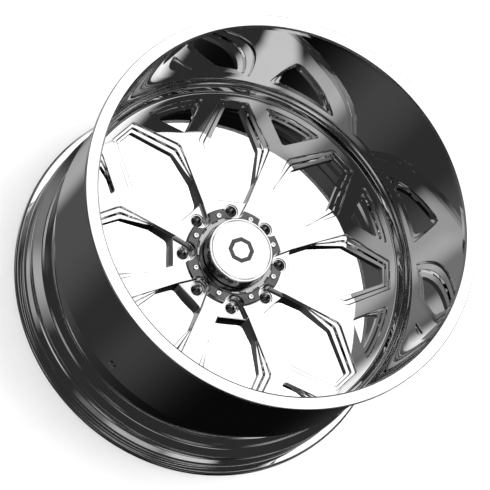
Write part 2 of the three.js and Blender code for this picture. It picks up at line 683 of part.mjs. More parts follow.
function valveSpring() {
  const coilRadius = STEM_BORE_RADIUS - FIT_GAP - SPRING_WIRE_RADIUS - 0.6;
  const start = SPRING_START + SPRING_WIRE_RADIUS;
  const length = SPRING_END - SPRING_WIRE_RADIUS - start;
  class Coil extends THREE.Curve {
    getPoint(t, target = new THREE.Vector3()) {
      const angle = t * SPRING_TURNS * 2 * Math.PI;
      return target.set(coilRadius * Math.cos(angle), coilRadius * Math.sin(angle), start + t * length);
    }
  }
  const section = new THREE.Shape(
    Array.from({ length: 5 }, (_, i) => {
      const angle = (i * 2 * Math.PI) / 5;
      return new THREE.Vector2(SPRING_WIRE_RADIUS * Math.cos(angle), SPRING_WIRE_RADIUS * Math.sin(angle));
    }),
  );
  const steps = SPRING_TURNS * 10;
  const wire = new THREE.ExtrudeGeometry(section, { steps, bevelEnabled: false, extrudePath: new Coil() });
  return onValveLine(solid(wire));
}

const VALVE_CAP_START = STEM_TIP - VALVE_CAP_SEAL - 2 * FIT_GAP - VALVE_CAP_END;

function valveCap() {
  const bore = STEM_RADIUS + FIT_GAP;
  const outer = bore + VALVE_CAP_WALL;
  const floor = VALVE_CAP_START + VALVE_CAP_END;
  const mouth = VALVE_CAP_START + VALVE_CAP_LENGTH;
  return valveTurned([
    [0, VALVE_CAP_START],
    [outer - 1.2, VALVE_CAP_START],
    [outer, VALVE_CAP_START + 1.2],
    [outer, mouth],
    [bore, mouth],
    [bore, floor],
    [0, floor],
  ]);
}

function valveCapSeal() {
  const start = VALVE_CAP_START + VALVE_CAP_END + FIT_GAP;
  return tube(STEM_RADIUS - 0.1, STEM_BORE_RADIUS - 0.6, start, start + VALVE_CAP_SEAL);
}

// ---------------------------------------------------------------- materials and assembly
const finish = (color, roughness, metalness) => {
  return new THREE.MeshStandardMaterial({ color, roughness, metalness });
};
const polished = () => finish(0xf2f2f2, 0.04, 1);
const machined = () => finish(0xcfd0d2, 0.22, 1);
const steel = () => finish(0xb9bbbe, 0.2, 1);
const darkAnodised = () => finish(0x2a2a2c, 0.25, 0.8);
const brass = () => finish(0xb08d4a, 0.3, 1);
const rubber = () => finish(0x111111, 0.8, 0);

function meshOf(name, body, material) {
  const { numProp, numVert, vertProperties, triVerts } = body.getMesh();
  const positions = new Float32Array(numVert * 3);
  for (let i = 0; i < numVert; i += 1) {
    positions.set(vertProperties.subarray(i * numProp, i * numProp + 3), i * 3);
  }
  const geometry = new THREE.BufferGeometry();
  geometry.setAttribute("position", new THREE.BufferAttribute(positions, 3));
  geometry.setIndex(new THREE.BufferAttribute(triVerts, 1));
  geometry.computeVertexNormals();
  const mesh = new THREE.Mesh(geometry, material);
  mesh.name = name;
  return mesh;
}

const wheel = new THREE.Group();
wheel.name = "forged_wheel";
wheel.add(
  meshOf("barrel", barrelBody(), polished()),
  meshOf("centre_disc", discBody(), polished()),
  meshOf("front_weld_bead", weldBead(FACE_Z + DISC_EDGE_HEIGHT, 1), machined()),
  meshOf("rear_weld_bead", weldBead(DISC_BACK_Z, -1), machined()),
  meshOf("cap_base_ring", capBaseRing(), darkAnodised()),
  meshOf("cap_housing", capHousing(), darkAnodised()),
  meshOf("cap_face", capFace(), polished()),
  meshOf("cap_emblem", capEmblem(), darkAnodised()),
  meshOf("cap_o_ring", capSeal(), rubber()),
);

const screws = new THREE.Group();
for (let i = 0; i < SPOKES; i += 1) {
  const angle = (i + 0.5) * STEP_ANGLE;
  const screw = meshOf(`cap_screw_${i + 1}`, capScrew(), steel());
  screw.position.set(SCREW_CIRCLE_RADIUS * Math.sin(angle), SCREW_CIRCLE_RADIUS * Math.cos(angle), 0);
  screws.add(screw);
}
wheel.add(screws);

const valve = new THREE.Group();
valve.add(
  meshOf("valve_stem", valveStem(), darkAnodised()),
  meshOf("valve_inner_grommet", grommet(INNER_GROMMET), rubber()),
  meshOf("valve_outer_grommet", grommet(NUT_SEAT + FIT_GAP), rubber()),
  meshOf("valve_nut", valveNut(), darkAnodised()),
  meshOf("valve_core_body", tube(CORE_RADIUS, CORE_BORE_RADIUS, CORE_START, CORE_END), brass()),
  meshOf("valve_core_pin", valvePin(), brass()),
  meshOf("valve_core_seal", valvePinSeal(), rubber()),
  meshOf("valve_core_spring", valveSpring(), steel()),
  meshOf("valve_cap", valveCap(), darkAnodised()),
  meshOf("valve_cap_seal", valveCapSeal(), rubber()),
);
wheel.add(valve);

export default wheel;
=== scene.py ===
"""Looks for the deep-dish forged wheel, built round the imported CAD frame.
Sizes are millimetres until a mesh is made."""
import math

import bmesh
import bpy
import numpy as np
from mathutils import Matrix, Vector
from mathutils.geometry import delaunay_2d_cdt


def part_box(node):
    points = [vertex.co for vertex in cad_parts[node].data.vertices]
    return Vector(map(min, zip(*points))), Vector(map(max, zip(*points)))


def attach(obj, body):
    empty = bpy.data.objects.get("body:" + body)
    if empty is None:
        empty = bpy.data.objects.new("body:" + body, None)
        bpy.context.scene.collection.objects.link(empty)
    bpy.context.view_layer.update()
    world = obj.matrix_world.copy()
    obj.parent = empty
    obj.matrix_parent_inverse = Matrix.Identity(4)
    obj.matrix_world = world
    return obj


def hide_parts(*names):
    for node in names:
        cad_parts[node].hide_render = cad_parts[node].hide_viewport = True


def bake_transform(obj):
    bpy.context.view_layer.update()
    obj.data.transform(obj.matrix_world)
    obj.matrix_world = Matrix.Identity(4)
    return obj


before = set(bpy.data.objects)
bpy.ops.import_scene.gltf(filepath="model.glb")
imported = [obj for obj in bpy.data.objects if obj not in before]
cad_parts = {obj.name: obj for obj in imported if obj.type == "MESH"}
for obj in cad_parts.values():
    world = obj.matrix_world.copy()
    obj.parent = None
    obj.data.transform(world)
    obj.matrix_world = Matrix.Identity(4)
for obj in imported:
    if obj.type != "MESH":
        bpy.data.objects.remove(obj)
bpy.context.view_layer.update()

MM = 0.001
SPOKES = 8
HALF_STEP = math.pi / SPOKES
ROUND = 384  # segments round the rim
FINE = 256  # segments round the cap and its ring
SMALL = 40  # segments round the valve's pieces
ARC_STEP = math.radians(9)  # the longest span of a fillet
WELD_DISTANCE = 4e-6  # metres
MERGE = 0.004  # points nearer than this are one
SEAM = 0.06  # a point this near the window's centreline is on it
FLAT = 0.9999  # least height of a level face's normal

# the same sizes as the CAD source
FRONT_Z, REAR_Z, FLANGE_RADIUS = 215.0, -215.0, 350.0
DISC_RADIUS, DISH_RADIUS, DISH_MOUTH, LIP_INNER = 320.5, 320.8, 327.0, 329.3
FACE_Z, HUB_FACE_Z, PAD_Z = -37.0, -44.6, -101.0
DISC_BACK_Z, POCKET_FLOOR_Z = -60.0, -55.4
HUB_RADIUS, BORE_RADIUS, PAD_RADIUS, PAD_EDGE = 109.0, 62.6, 104.0, 101.0
LUG_CIRCLE, LUG_HOLE, LUG_SEAT, LUG_SEAT_DEPTH, POCKET_RADIUS = 90.0, 8.2, 13.0, 4.8, 17.5
RING_BOTTOM_Z, RING_TOP_Z, COLLAR_TOP_Z = -44.3, -38.1, -35.1
RING_OUTER, RING_COLLAR, RING_BORE, RING_SCALLOP = 89.0, 70.1, 61.1, 19.0
COUNTERBORE, COUNTERBORE_TOP, NOTCH_WIDTH, NOTCH_DEPTH = 66.8, -39.5, 13.0, 3.4
SCREW_CIRCLE, SCREW_POCKET, SCREW_SINK = 77.5, 5.6, 1.4
SCREW_SEAT_Z, SCREW_HEAD, SCREW_LENGTH = RING_TOP_Z - 1.1, 3.3, 21.3
CAP_TOP_Z, CAP_TOP_RADIUS, CAP_BASE_RADIUS, CAP_WALL = -4.3, 58.5, 59.5, 3.5
CAP_FLANGE, CAP_FLANGE_TOP, CAP_GROOVE_SETBACK = 66.5, -42.0, 4.7
LID_THICKNESS, FIT_GAP = 3.2, 0.3
FILLET_FOOT = 301.0  # where the disc's face starts to turn up to its rim
BACK_BREAK = 1.2  # chamfer of the windows' edges at the back


# ---------------------------------------------------------------- small geometry helpers
def unit(x, y):
    length = math.hypot(x, y) or 1.0
    return x / length, y / length


def rounded(points, closed=True):
    """[x, y, radius] corners as ([x, y], normal) samples: arcs are true arcs and flats keep exact normals.
    Normals point to the left of the way of travel."""
    samples = []
    count = len(points)
    for i, (x, y, radius) in enumerate(points):
        if not closed and i in (0, count - 1):
            other = points[1] if i == 0 else points[-2]
            dx, dy = unit(other[0] - x, other[1] - y) if i == 0 else unit(x - other[0], y - other[1])
            samples.append(((x, y), (-dy, dx)))
            continue
        px, py = points[i - 1][:2]
        nx, ny = points[(i + 1) % count][:2]
        ax, ay = unit(x - px, y - py)
        bx, by = unit(nx - x, ny - y)
        turn = math.atan2(ax * by - ay * bx, ax * bx + ay * by)
        if abs(turn) < 1e-4:
            samples.append(((x, y), (-ay, ax)))
            continue
        reach = abs(radius * math.tan(turn / 2))
        # two fillets share each side
        limit = 0.48 * min(math.hypot(x - px, y - py), math.hypot(nx - x, ny - y))
        if reach > limit:
            radius *= limit / reach
            reach = limit
        side = 1 if turn > 0 else -1
        sx, sy = x - ax * reach, y - ay * reach
        cx, cy = sx - ay * radius * side, sy + ax * radius * side
        steps = max(2, int(abs(turn) / ARC_STEP) + 1)
        for k in range(steps + 1):
            a = turn * k / steps
            c, s = math.cos(a), math.sin(a)
            vx, vy = sx - cx, sy - cy
            samples.append(((cx + vx * c - vy * s, cy + vx * s + vy * c),
                            (-(ax * s + ay * c), ax * c - ay * s)))
    return samples


def new_object(name, mesh, material):
    mesh.materials.append(material)
    piece = bpy.data.objects.new(name, mesh)
    bpy.context.scene.collection.objects.link(piece)
    return piece


def shade(mesh, degrees):
    mesh.polygons.foreach_set("use_smooth", [True] * len(mesh.polygons))
    mesh.set_sharp_from_angle(angle=math.radians(degrees))


def turned(name, profile, material, segments=ROUND, axis=None):
    """A closed lathe about Z, with exact normals, of [r, z, fillet] corners listed anticlockwise in
    the (r, z) plane. axis is an optional matrix in millimetres that places the turned body."""
    samples = rounded(profile)
    verts, normals, faces = [], [], []
    n = len(samples)
    on_axis = [abs(p[0]) < 1e-6 for p, _ in samples]
    index = {}
    for j, ((r, z), (nr, nz)) in enumerate(samples):
        outward = (-nr, -nz)
        for i in range(1 if on_axis[j] else segments):
            a = 2 * math.pi * i / segments
            index[i, j] = len(verts)
            verts.append((r * math.cos(a), r * math.sin(a), z))
            normals.append((outward[0] * math.cos(a), outward[0] * math.sin(a), outward[1]))
    for j in range(n):
        k = (j + 1) % n
        if on_axis[j] and on_axis[k]:
            continue
        for i in range(segments):
            m = (i + 1) % segments
            if on_axis[j]:
                faces.append((index[0, j], index[m, k], index[i, k]))
            elif on_axis[k]:
                faces.append((index[i, j], index[m, j], index[0, k]))
            else:
                faces.append((index[i, j], index[m, j], index[m, k], index[i, k]))
    heights = [p[1] for p, _ in samples]
    middle = (min(heights) + max(heights)) / 2
    for spot in (i for i, flag in enumerate(on_axis) if flag):
        normals[index[0, spot]] = (0, 0, 1 if heights[spot] > middle else -1)
    place = axis or Matrix.Identity(4)
    turn = place.to_3x3()
    mesh = bpy.data.meshes.new(name)
    mesh.from_pydata([(place @ Vector(v)) * MM for v in verts], [], faces)
    mesh.polygons.foreach_set("use_smooth", [True] * len(mesh.polygons))
    mesh.normals_split_custom_set_from_vertices([(turn @ Vector(v)).normalized() for v in normals])
    return new_object(name, mesh, material)


def from_bmesh(name, bm, material, degrees):
    """A finished mesh from a bmesh in millimetres."""
    bmesh.ops.remove_doubles(bm, verts=bm.verts, dist=MERGE)
    bmesh.ops.dissolve_degenerate(bm, edges=bm.edges, dist=MERGE / 2)
    bmesh.ops.recalc_face_normals(bm, faces=bm.faces)
    bmesh.ops.scale(bm, vec=(MM,) * 3, verts=bm.verts)
    mesh = bpy.data.meshes.new(name)
    bm.to_mesh(mesh)
    bm.free()
    shade(mesh, degrees)
    return new_object(name, mesh, material)


def put(piece, node, body="wheel"):
    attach(piece, body)
    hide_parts(node)
    return piece


# ---------------------------------------------------------------- materials
class Nodes:
    """Short hand for building a shader tree."""

    def __init__(self, name):
        self.material = bpy.data.materials.new(name)
        self.material.use_nodes = True
        self.tree = self.material.node_tree
        self.shader = self.tree.nodes["Principled BSDF"]
        self.position = self.add("ShaderNodeTexCoord").outputs["Object"]

    def add(self, kind, **values):
        node = self.tree.nodes.new(kind)
        for key, value in values.items():
            if hasattr(node, key):
                setattr(node, key, value)
            else:
                node.inputs[key.replace("_", " ")].default_value = value
        return node

    def link(self, a, b):
        self.tree.links.new(a, b)

    def noise(self, scale, detail, rough):
        node = self.add("ShaderNodeTexNoise", Scale=scale, Detail=detail, Roughness=rough)
        self.link(self.position, node.inputs["Vector"])
        return node.outputs["Fac"]

    def math(self, operation, a, b):
        node = self.add("ShaderNodeMath", operation=operation)
        for socket, value in zip(node.inputs, (a, b)):
            if isinstance(value, (int, float)):
                socket.default_value = value
            else:
                self.link(value, socket)
        return node.outputs[0]

    def remap(self, value, low, high, from_low=0.3, from_high=0.7):
        node = self.add("ShaderNodeMapRange")
        node.clamp = True
        ends = {"From Min": from_low, "From Max": from_high, "To Min": low, "To Max": high}
        for key, number in ends.items():
            node.inputs[key].default_value = number
        self.link(value, node.inputs["Value"])
        return node.outputs["Result"]

    def ramp(self, value, stops):
        node = self.add("ShaderNodeValToRGB")
        ramp = node.color_ramp
        while len(ramp.elements) < len(stops):
            ramp.elements.new(0.5)
        for element, (place, color) in zip(ramp.elements, stops):
            element.position = place
            element.color = (*color, 1)
        self.link(value, node.inputs["Fac"])
        return node.outputs["Color"]

    def radius(self):
        """Distance from the axle line, and height, in metres."""
        split = self.add("ShaderNodeSeparateXYZ")
        self.link(self.position, split.inputs[0])
        x, y, z = split.outputs
        squares = self.math("ADD", self.math("MULTIPLY", x, x), self.math("MULTIPLY", y, y))
        return self.math("SQRT", squares, 0.5), z

    def bump(self, height, strength, distance):
        node = self.add("ShaderNodeBump", Strength=strength, Distance=distance)
        self.link(height, node.inputs["Height"])
        self.link(node.outputs["Normal"], self.shader.inputs["Normal"])

    def set(self, **values):
        for key, value in values.items():
            socket = self.shader.inputs[key.replace("_", " ")]
            if isinstance(value, (int, float, tuple)):
                socket.default_value = value
            else:
                self.link(value, socket)


TURNED_LINES = 1400.0  # a metre


def polished_aluminium(name="polished_aluminium", tint=(0.93, 0.93, 0.935), haze=0.0):
    """Mirror-polished forging, with faint turned lines and buffing haze."""
    n = Nodes(name)
    cloud = n.noise(9, 4, 0.55)
    shade_low = tuple(c * 0.965 for c in tint)
    n.set(Base_Color=n.ramp(cloud, [(0.3, shade_low), (0.7, tint)]), Metallic=1.0)
    n.set(Roughness=n.remap(n.noise(38, 5, 0.6), 0.008 + haze, 0.026 + haze))
    r, z = n.radius()
    line = n.add("ShaderNodeTexNoise", Scale=1.0, Detail=2.0)
    line.noise_dimensions = "2D"
    combine = n.add("ShaderNodeCombineXYZ")
    n.link(n.math("MULTIPLY", r, TURNED_LINES), combine.inputs[0])
    n.link(n.math("MULTIPLY", z, TURNED_LINES), combine.inputs[1])
    n.link(combine.outputs[0], line.inputs["Vector"])
    n.bump(line.outputs["Fac"], 0.05, 0.00002)
    return n.material


def dark_anodised():
    """Gloss dark anodising over machined aluminium, with fine pores and lighter worn patches."""
    n = Nodes("dark_anodised")
    wear = n.noise(60, 5, 0.6)
    n.set(Base_Color=n.ramp(wear, [(0.35, (0.085, 0.085, 0.088)), (0.72, (0.15, 0.15, 0.154))]), Metallic=0.9)
    n.set(Roughness=n.remap(n.noise(180, 4, 0.6), 0.07, 0.15))
    n.bump(n.noise(900, 2, 0.5), 0.08, 0.00003)
    return n.material


def black_gloss():
    n = Nodes("cap_black")
    shades = [(0.3, (0.035, 0.035, 0.037)), (0.7, (0.06, 0.06, 0.063))]
    n.set(Base_Color=n.ramp(n.noise(80, 4, 0.6), shades))
    n.set(Metallic=0.3, Roughness=n.remap(n.noise(220, 4, 0.6), 0.16, 0.3))
    n.bump(n.noise(1200, 2, 0.5), 0.06, 0.00003)
    return n.material


def weld():
    """Weld bead, blended by hand and polished, so it is a little hazier than the turned metal."""
    n = Nodes("blended_weld")
    shades = [(0.3, (0.74, 0.74, 0.75)), (0.7, (0.86, 0.86, 0.87))]
    n.set(Base_Color=n.ramp(n.noise(40, 5, 0.6), shades), Metallic=1.0)
    n.set(Roughness=n.remap(n.noise(90, 5, 0.6), 0.07, 0.16))
    n.bump(n.noise(240, 3, 0.6), 0.12, 0.0001)
    return n.material


def plated_steel():
    n = Nodes("plated_steel")
    shades = [(0.3, (0.8, 0.805, 0.81)), (0.7, (0.9, 0.905, 0.91))]
    n.set(Base_Color=n.ramp(n.noise(120, 4, 0.6), shades), Metallic=1.0)
    n.set(Roughness=n.remap(n.noise(300, 4, 0.6), 0.03, 0.09))
    n.bump(n.noise(1500, 2, 0.5), 0.08, 0.00002)
    return n.material


def brass():
    n = Nodes("turned_brass")
    shades = [(0.3, (0.58, 0.41, 0.16)), (0.7, (0.76, 0.58, 0.28))]
    n.set(Base_Color=n.ramp(n.noise(200, 4, 0.6), shades), Metallic=1.0)
    n.set(Roughness=n.remap(n.noise(500, 3, 0.6), 0.18, 0.34))
    n.bump(n.noise(1800, 2, 0.5), 0.1, 0.00002)
    return n.material


def rubber():
    n = Nodes("seal_rubber")
    n.set(Base_Color=n.ramp(n.noise(150, 5, 0.6), [(0.3, (0.012, 0.012, 0.013)), (0.7, (0.03, 0.03, 0.031))]))
    n.set(Roughness=n.remap(n.noise(400, 3, 0.6), 0.5, 0.75))
    n.bump(n.noise(2200, 3, 0.6), 0.2, 0.00005)
    return n.material


POLISHED = polished_aluminium()
CAP_POLISHED = polished_aluminium("cap_polished", haze=0.01)
SMOKED = polished_aluminium("smoked_chrome", tint=(0.44, 0.44, 0.45), haze=0.01)
DARK, BLACK, WELD = dark_anodised(), black_gloss(), weld()
STEEL, BRASS, RUBBER = plated_steel(), brass(), rubber()


# ---------------------------------------------------------------- barrel
def barrel():
    """One closed profile: down the outside from the front flange, and up the inside."""
    outside = [
        (FLANGE_RADIUS, FRONT_Z, 1.6), (FLANGE_RADIUS, 206, 2.5), (347, 203.2, 3), (333.4, 203.2, 3.5),
        (331, 179, 6), (333.2, 174.5, 4), (331, 170, 6), (329.8, -30, 6), (317, -144, 5),
        (335.3, -149.8, 1.6), (334.6, -153.5, 2), (331, -170, 6), (333.2, -174.5, 4), (331, -179, 6),
        (333.4, -203.2, 3.5), (347, -203.2, 3), (FLANGE_RADIUS, -206, 2.5), (FLANGE_RADIUS, REAR_Z, 1.6),
    ]
    inside = [
        (323.4, REAR_Z, 1.5), (321.9, -162, 20), (309, -142, 20), (309, -118, 15),
        (DISH_RADIUS, -71.5, 12), (DISH_RADIUS, FACE_Z, 3), (DISH_MOUTH, 203, 4),
        (DISH_MOUTH, 212.7, 0.8), (LIP_INNER, 213.4, 0.5), (LIP_INNER, FRONT_Z, 0.8),
    ]
    profile = (outside + inside)[::-1]
    return put(turned("barrel_shell", profile, POLISHED), "barrel")


# ---------------------------------------------------------------- centre disc
FACE_SLOPE, BLEND_IN, BLEND_OUT = 0.0635, 206.0, 240.0
BACK_PROFILE = [
    (BORE_RADIUS, PAD_Z), (PAD_EDGE, PAD_Z), (PAD_RADIUS, -98.0), (115.0, -85.0),
    (165.0, -73.5), (212.0, -62.0), (292.0, DISC_BACK_Z), (330.0, DISC_BACK_Z),
]


def face_z(r):
    """Height and slope of the face: flat outside the fork, then falling about 4 degrees to the hub."""
    if r <= HUB_RADIUS - 6:
        return HUB_FACE_Z, 0.0
    if r >= BLEND_OUT:
        return FACE_Z, 0.0
    if r >= BLEND_IN:
        t = (BLEND_OUT - r) / (BLEND_OUT - BLEND_IN)
        return FACE_Z - FACE_SLOPE * (BLEND_OUT - BLEND_IN) / 2 * t * t, FACE_SLOPE * t
    height = FACE_Z - FACE_SLOPE * (BLEND_OUT - BLEND_IN) / 2 - FACE_SLOPE * (BLEND_IN - r)
    return (height, FACE_SLOPE) if height > HUB_FACE_Z else (HUB_FACE_Z, 0.0)


def back_z(r):
    return float(np.interp(r, *zip(*BACK_PROFILE)))


def corner(before, at, after, radius, steps):
    """Samples of one rounded corner, from tangent point to tangent point."""
    ax, ay = unit(at[0] - before[0], at[1] - before[1])
    bx, by = unit(after[0] - at[0], after[1] - at[1])
    turn = math.atan2(ax * by - ay * bx, ax * bx + ay * by)
    reach = abs(radius * math.tan(turn / 2))
    side = 1 if turn > 0 else -1
    sx, sy = at[0] - ax * reach, at[1] - ay * reach
    cx, cy = sx - ay * radius * side, sy + ax * radius * side
    out = []
    for k in range(steps + 1):
        a = turn * k / steps
        vx, vy = sx - cx, sy - cy
        out.append((cx + vx * math.cos(a) - vy * math.sin(a), cy + vx * math.sin(a) + vy * math.cos(a)))
    return out


def join(*legs):
    out = list(legs[0])
    for leg in legs[1:]:
        if math.dist(out[-1], leg[0]) < 1e-6:
            leg = leg[1:]
        out += leg
    return out


def straight(a, b, n):
    return [(a[0] + (b[0] - a[0]) * k / n, a[1] + (b[1] - a[1]) * k / n) for k in range(n + 1)]


BIG = [  # rim-end corner, shoulder and run-out of the face outline and of both terraces
    ((27.1, 294.5), (67.9, 211.0), (43.6, 148.0)),
    ((20.8, 288.8), (57.4, 209.4), (43.1, 148.0)),
    ((14.6, 283.1), (46.9, 208.0), (42.6, 148.0)),
]
BIG_RADII = [(4.5, 14.0), (4.0, 12.0), (3.5, 10.0)]  # of the corner and the shoulder
HUB_CORNER = (28.6, HUB_RADIUS)  # end of the spoke's side
TANGENT = (15.77, 82.4)  # start of the lug pocket's arc
INSET = [0.0, 0.35, 0.5, 0.55, 0.6, 0.8, 0.85, 0.95, 1.0]  # of each nested line past the run-out


def big_outline(which):
    """Right half of a big window from its top centre to the run-out of the terraces."""
    end, shoulder, runout = BIG[which]
    r_end, r_shoulder = BIG_RADII[which]
    top = (0.0, end[1])
    first = corner(top, end, shoulder, r_end, 5)
    second = corner(end, shoulder, runout, r_shoulder, 8)
    return join(straight(top, first[0], 4), first, straight(first[-1], second[0], 12), second,
                straight(second[-1], runout, 12))


def offset_line(points, distance):
    """The polyline moved to its right, or to its left by a negative distance."""
    out = []
    for i, (x, y) in enumerate(points):
        ax, ay = points[max(i - 1, 0)]
        bx, by = points[min(i + 1, len(points) - 1)]
        dx, dy = unit(bx - ax, by - ay)
        out.append((x + dy * distance, y - dx * distance))
    return out


def lower_outline():
    """From the run-out down the spoke's side, round the lug pocket, to the pocket's foot on the centreline."""
    a0 = math.atan2(TANGENT[1] - LUG_CIRCLE, TANGENT[0])
    arc = [(POCKET_RADIUS * math.cos(a), LUG_CIRCLE + POCKET_RADIUS * math.sin(a))
           for a in np.linspace(a0, -math.pi / 2, 13)]
    return straight(BIG[0][2], HUB_CORNER, 7), join(straight(HUB_CORNER, TANGENT, 7), [tuple(p) for p in arc])


def lerp_lines(a, b, t):
    return [(p[0] + (q[0] - p[0]) * t, p[1] + (q[1] - p[1]) * t) for p, q in zip(a, b)]


DEPTHS = [0.0, 0.35, 4.3, 4.55, 4.95, 9.3, 9.55, 9.95]  # of each nested line below the face


def terrace_levels(a, b, c):
    """The eight nested lines of a stepped window edge, from the face to the top of the last wall."""
    def near(p, q, d):
        out = []
        for (x, y), (u, v) in zip(p, q):
            gap = math.dist((x, y), (u, v)) or 1
            t = min(d / gap, 0.5)
            out.append((x + (u - x) * t, y + (v - y) * t))
        return out
    return [a, near(a, b, 0.35), lerp_lines(a, b, 0.27), lerp_lines(a, b, 0.93), b,
            lerp_lines(b, c, 0.27), lerp_lines(b, c, 0.93), c]


def big_window_levels():
    side, pocket = lower_outline()
    upper = terrace_levels(big_outline(0), big_outline(1), big_outline(2))
    lower = join(side, pocket)
    out = []
    for k, top in enumerate(upper):
        moved = offset_line(lower, INSET[k])
        meeting_x = (top[-1][0] + moved[0][0]) / 2 if k else top[-1][0]
        out.append(join(top[:-1], [(meeting_x, moved[0][1])], moved[1:]))
    return out, len(upper[0]) - 1, len(side) - 1, len(pocket) - 1


FORK = [  # base radius, its end, corner of the side, apex, and fillets of the end and the apex
    (296.0, 58.0, (24.0, 259.5), 237.9, 3.5, 7.0),
    (289.4, 47.2, (23.6, 259.7), 238.4, 3.0, 6.6),
    (282.9, 36.6, (23.2, 259.9), 238.9, 2.5, 6.2),
]


def fork_outline(which):
    """Half of a fork window in its own frame (u across, v outward): from the base centre to the apex."""
    base, end_x, join_at, apex, r_corner, r_apex = FORK[which]
    end = (end_x, math.sqrt(base ** 2 - end_x ** 2))
    sweep = math.asin(end_x / base)
    before = (base * math.sin(sweep * 0.9), base * math.cos(sweep * 0.9))
    bend = corner(before, end, join_at, r_corner, 5)
    start_angle = math.atan2(bend[0][0], bend[0][1])
    arc = [(base * math.sin(start_angle * k / 10), base * math.cos(start_angle * k / 10))
           for k in range(10)]
    tip = corner(join_at, (0.0, apex), (-join_at[0], join_at[1]), r_apex, 8)[:5]
    tip[-1] = (0.0, tip[-1][1])
    return join(arc, bend, straight(bend[-1], join_at, 10), straight(join_at, tip[0], 6), tip)


def fork_window_levels():
    a, b, c = (fork_outline(i) for i in range(3))
    return terrace_levels(a, b, c)


def from_spoke(u, v):
    """From the spoke's frame, u toward the window, to one whose Y is the window's centreline."""
    s, c = math.sin(HALF_STEP), math.cos(HALF_STEP)
    return (v * s - u * c, v * c + u * s)


def inside_polygon(polygon, points):
    x, y = points[:, 0], points[:, 1]
    result = np.zeros(len(points), bool)
    px, py = polygon[:, 0], polygon[:, 1]
    for i in range(len(polygon)):
        j = i - 1
        crosses = (py[i] > y) != (py[j] > y)
        with np.errstate(divide="ignore", invalid="ignore"):
            at = (px[j] - px[i]) * (y - py[i]) / (py[j] - py[i]) + px[i]
        result ^= crosses & (x < at)
    return result


def distance_to(polygon, points):
    best = np.full(len(points), 1e9)
    for i in range(len(polygon)):
        a, b = polygon[i - 1], polygon[i]
        d = b - a
        t = np.clip(((points - a) @ d) / max(d @ d, 1e-9), 0, 1)
        best = np.minimum(best, np.linalg.norm(points - (a + t[:, None] * d), axis=1))
    return best


def fill(polygon, spacing):
    """Triangles inside a closed outline, with a grid of points inside it."""
    outline = np.array(polygon)
    lo, hi = outline.min(0), outline.max(0)
    # rows of a nearly even triangular grid
    xs, ys = np.arange(lo[0], hi[0], spacing), np.arange(lo[1], hi[1], spacing * 0.87)
    grid = np.array([(x + (j % 2) * spacing / 2, y) for j, y in enumerate(ys) for x in xs])
    keep = inside_polygon(outline, grid)
    grid = grid[keep]
    if len(grid):
        grid = grid[distance_to(outline, grid) > spacing * 0.4]
    coords = [Vector(p) for p in polygon] + [Vector(p) for p in grid]
    n = len(polygon)
    edges = [(i, (i + 1) % n) for i in range(n)]
    out = delaunay_2d_cdt(coords, edges, [], 1, 1e-6)
    return [tuple(v) for v in out[0]], [tuple(f) for f in out[2]]


def clean(polygon):
    out = []
    for p in polygon:
        if not out or math.dist(out[-1], p) > 1e-5:
            out.append(tuple(p))
    if math.dist(out[0], out[-1]) < 1e-5:
        out.pop()
    return out


WALL_CLASS, FACE_CLASS, FLOOR_CLASS = 0, 1, 2
LUG_STEPS = (  # inset and depth of each circle of a lug seat
    (0, 0), (0.5, 0.35), (0.6, 1.9), (0.8, 2.1), (2.2, 2.1), (2.5, 2.3),
    (4.2, LUG_SEAT_DEPTH), (4.8, LUG_SEAT_DEPTH + 0.6),
)


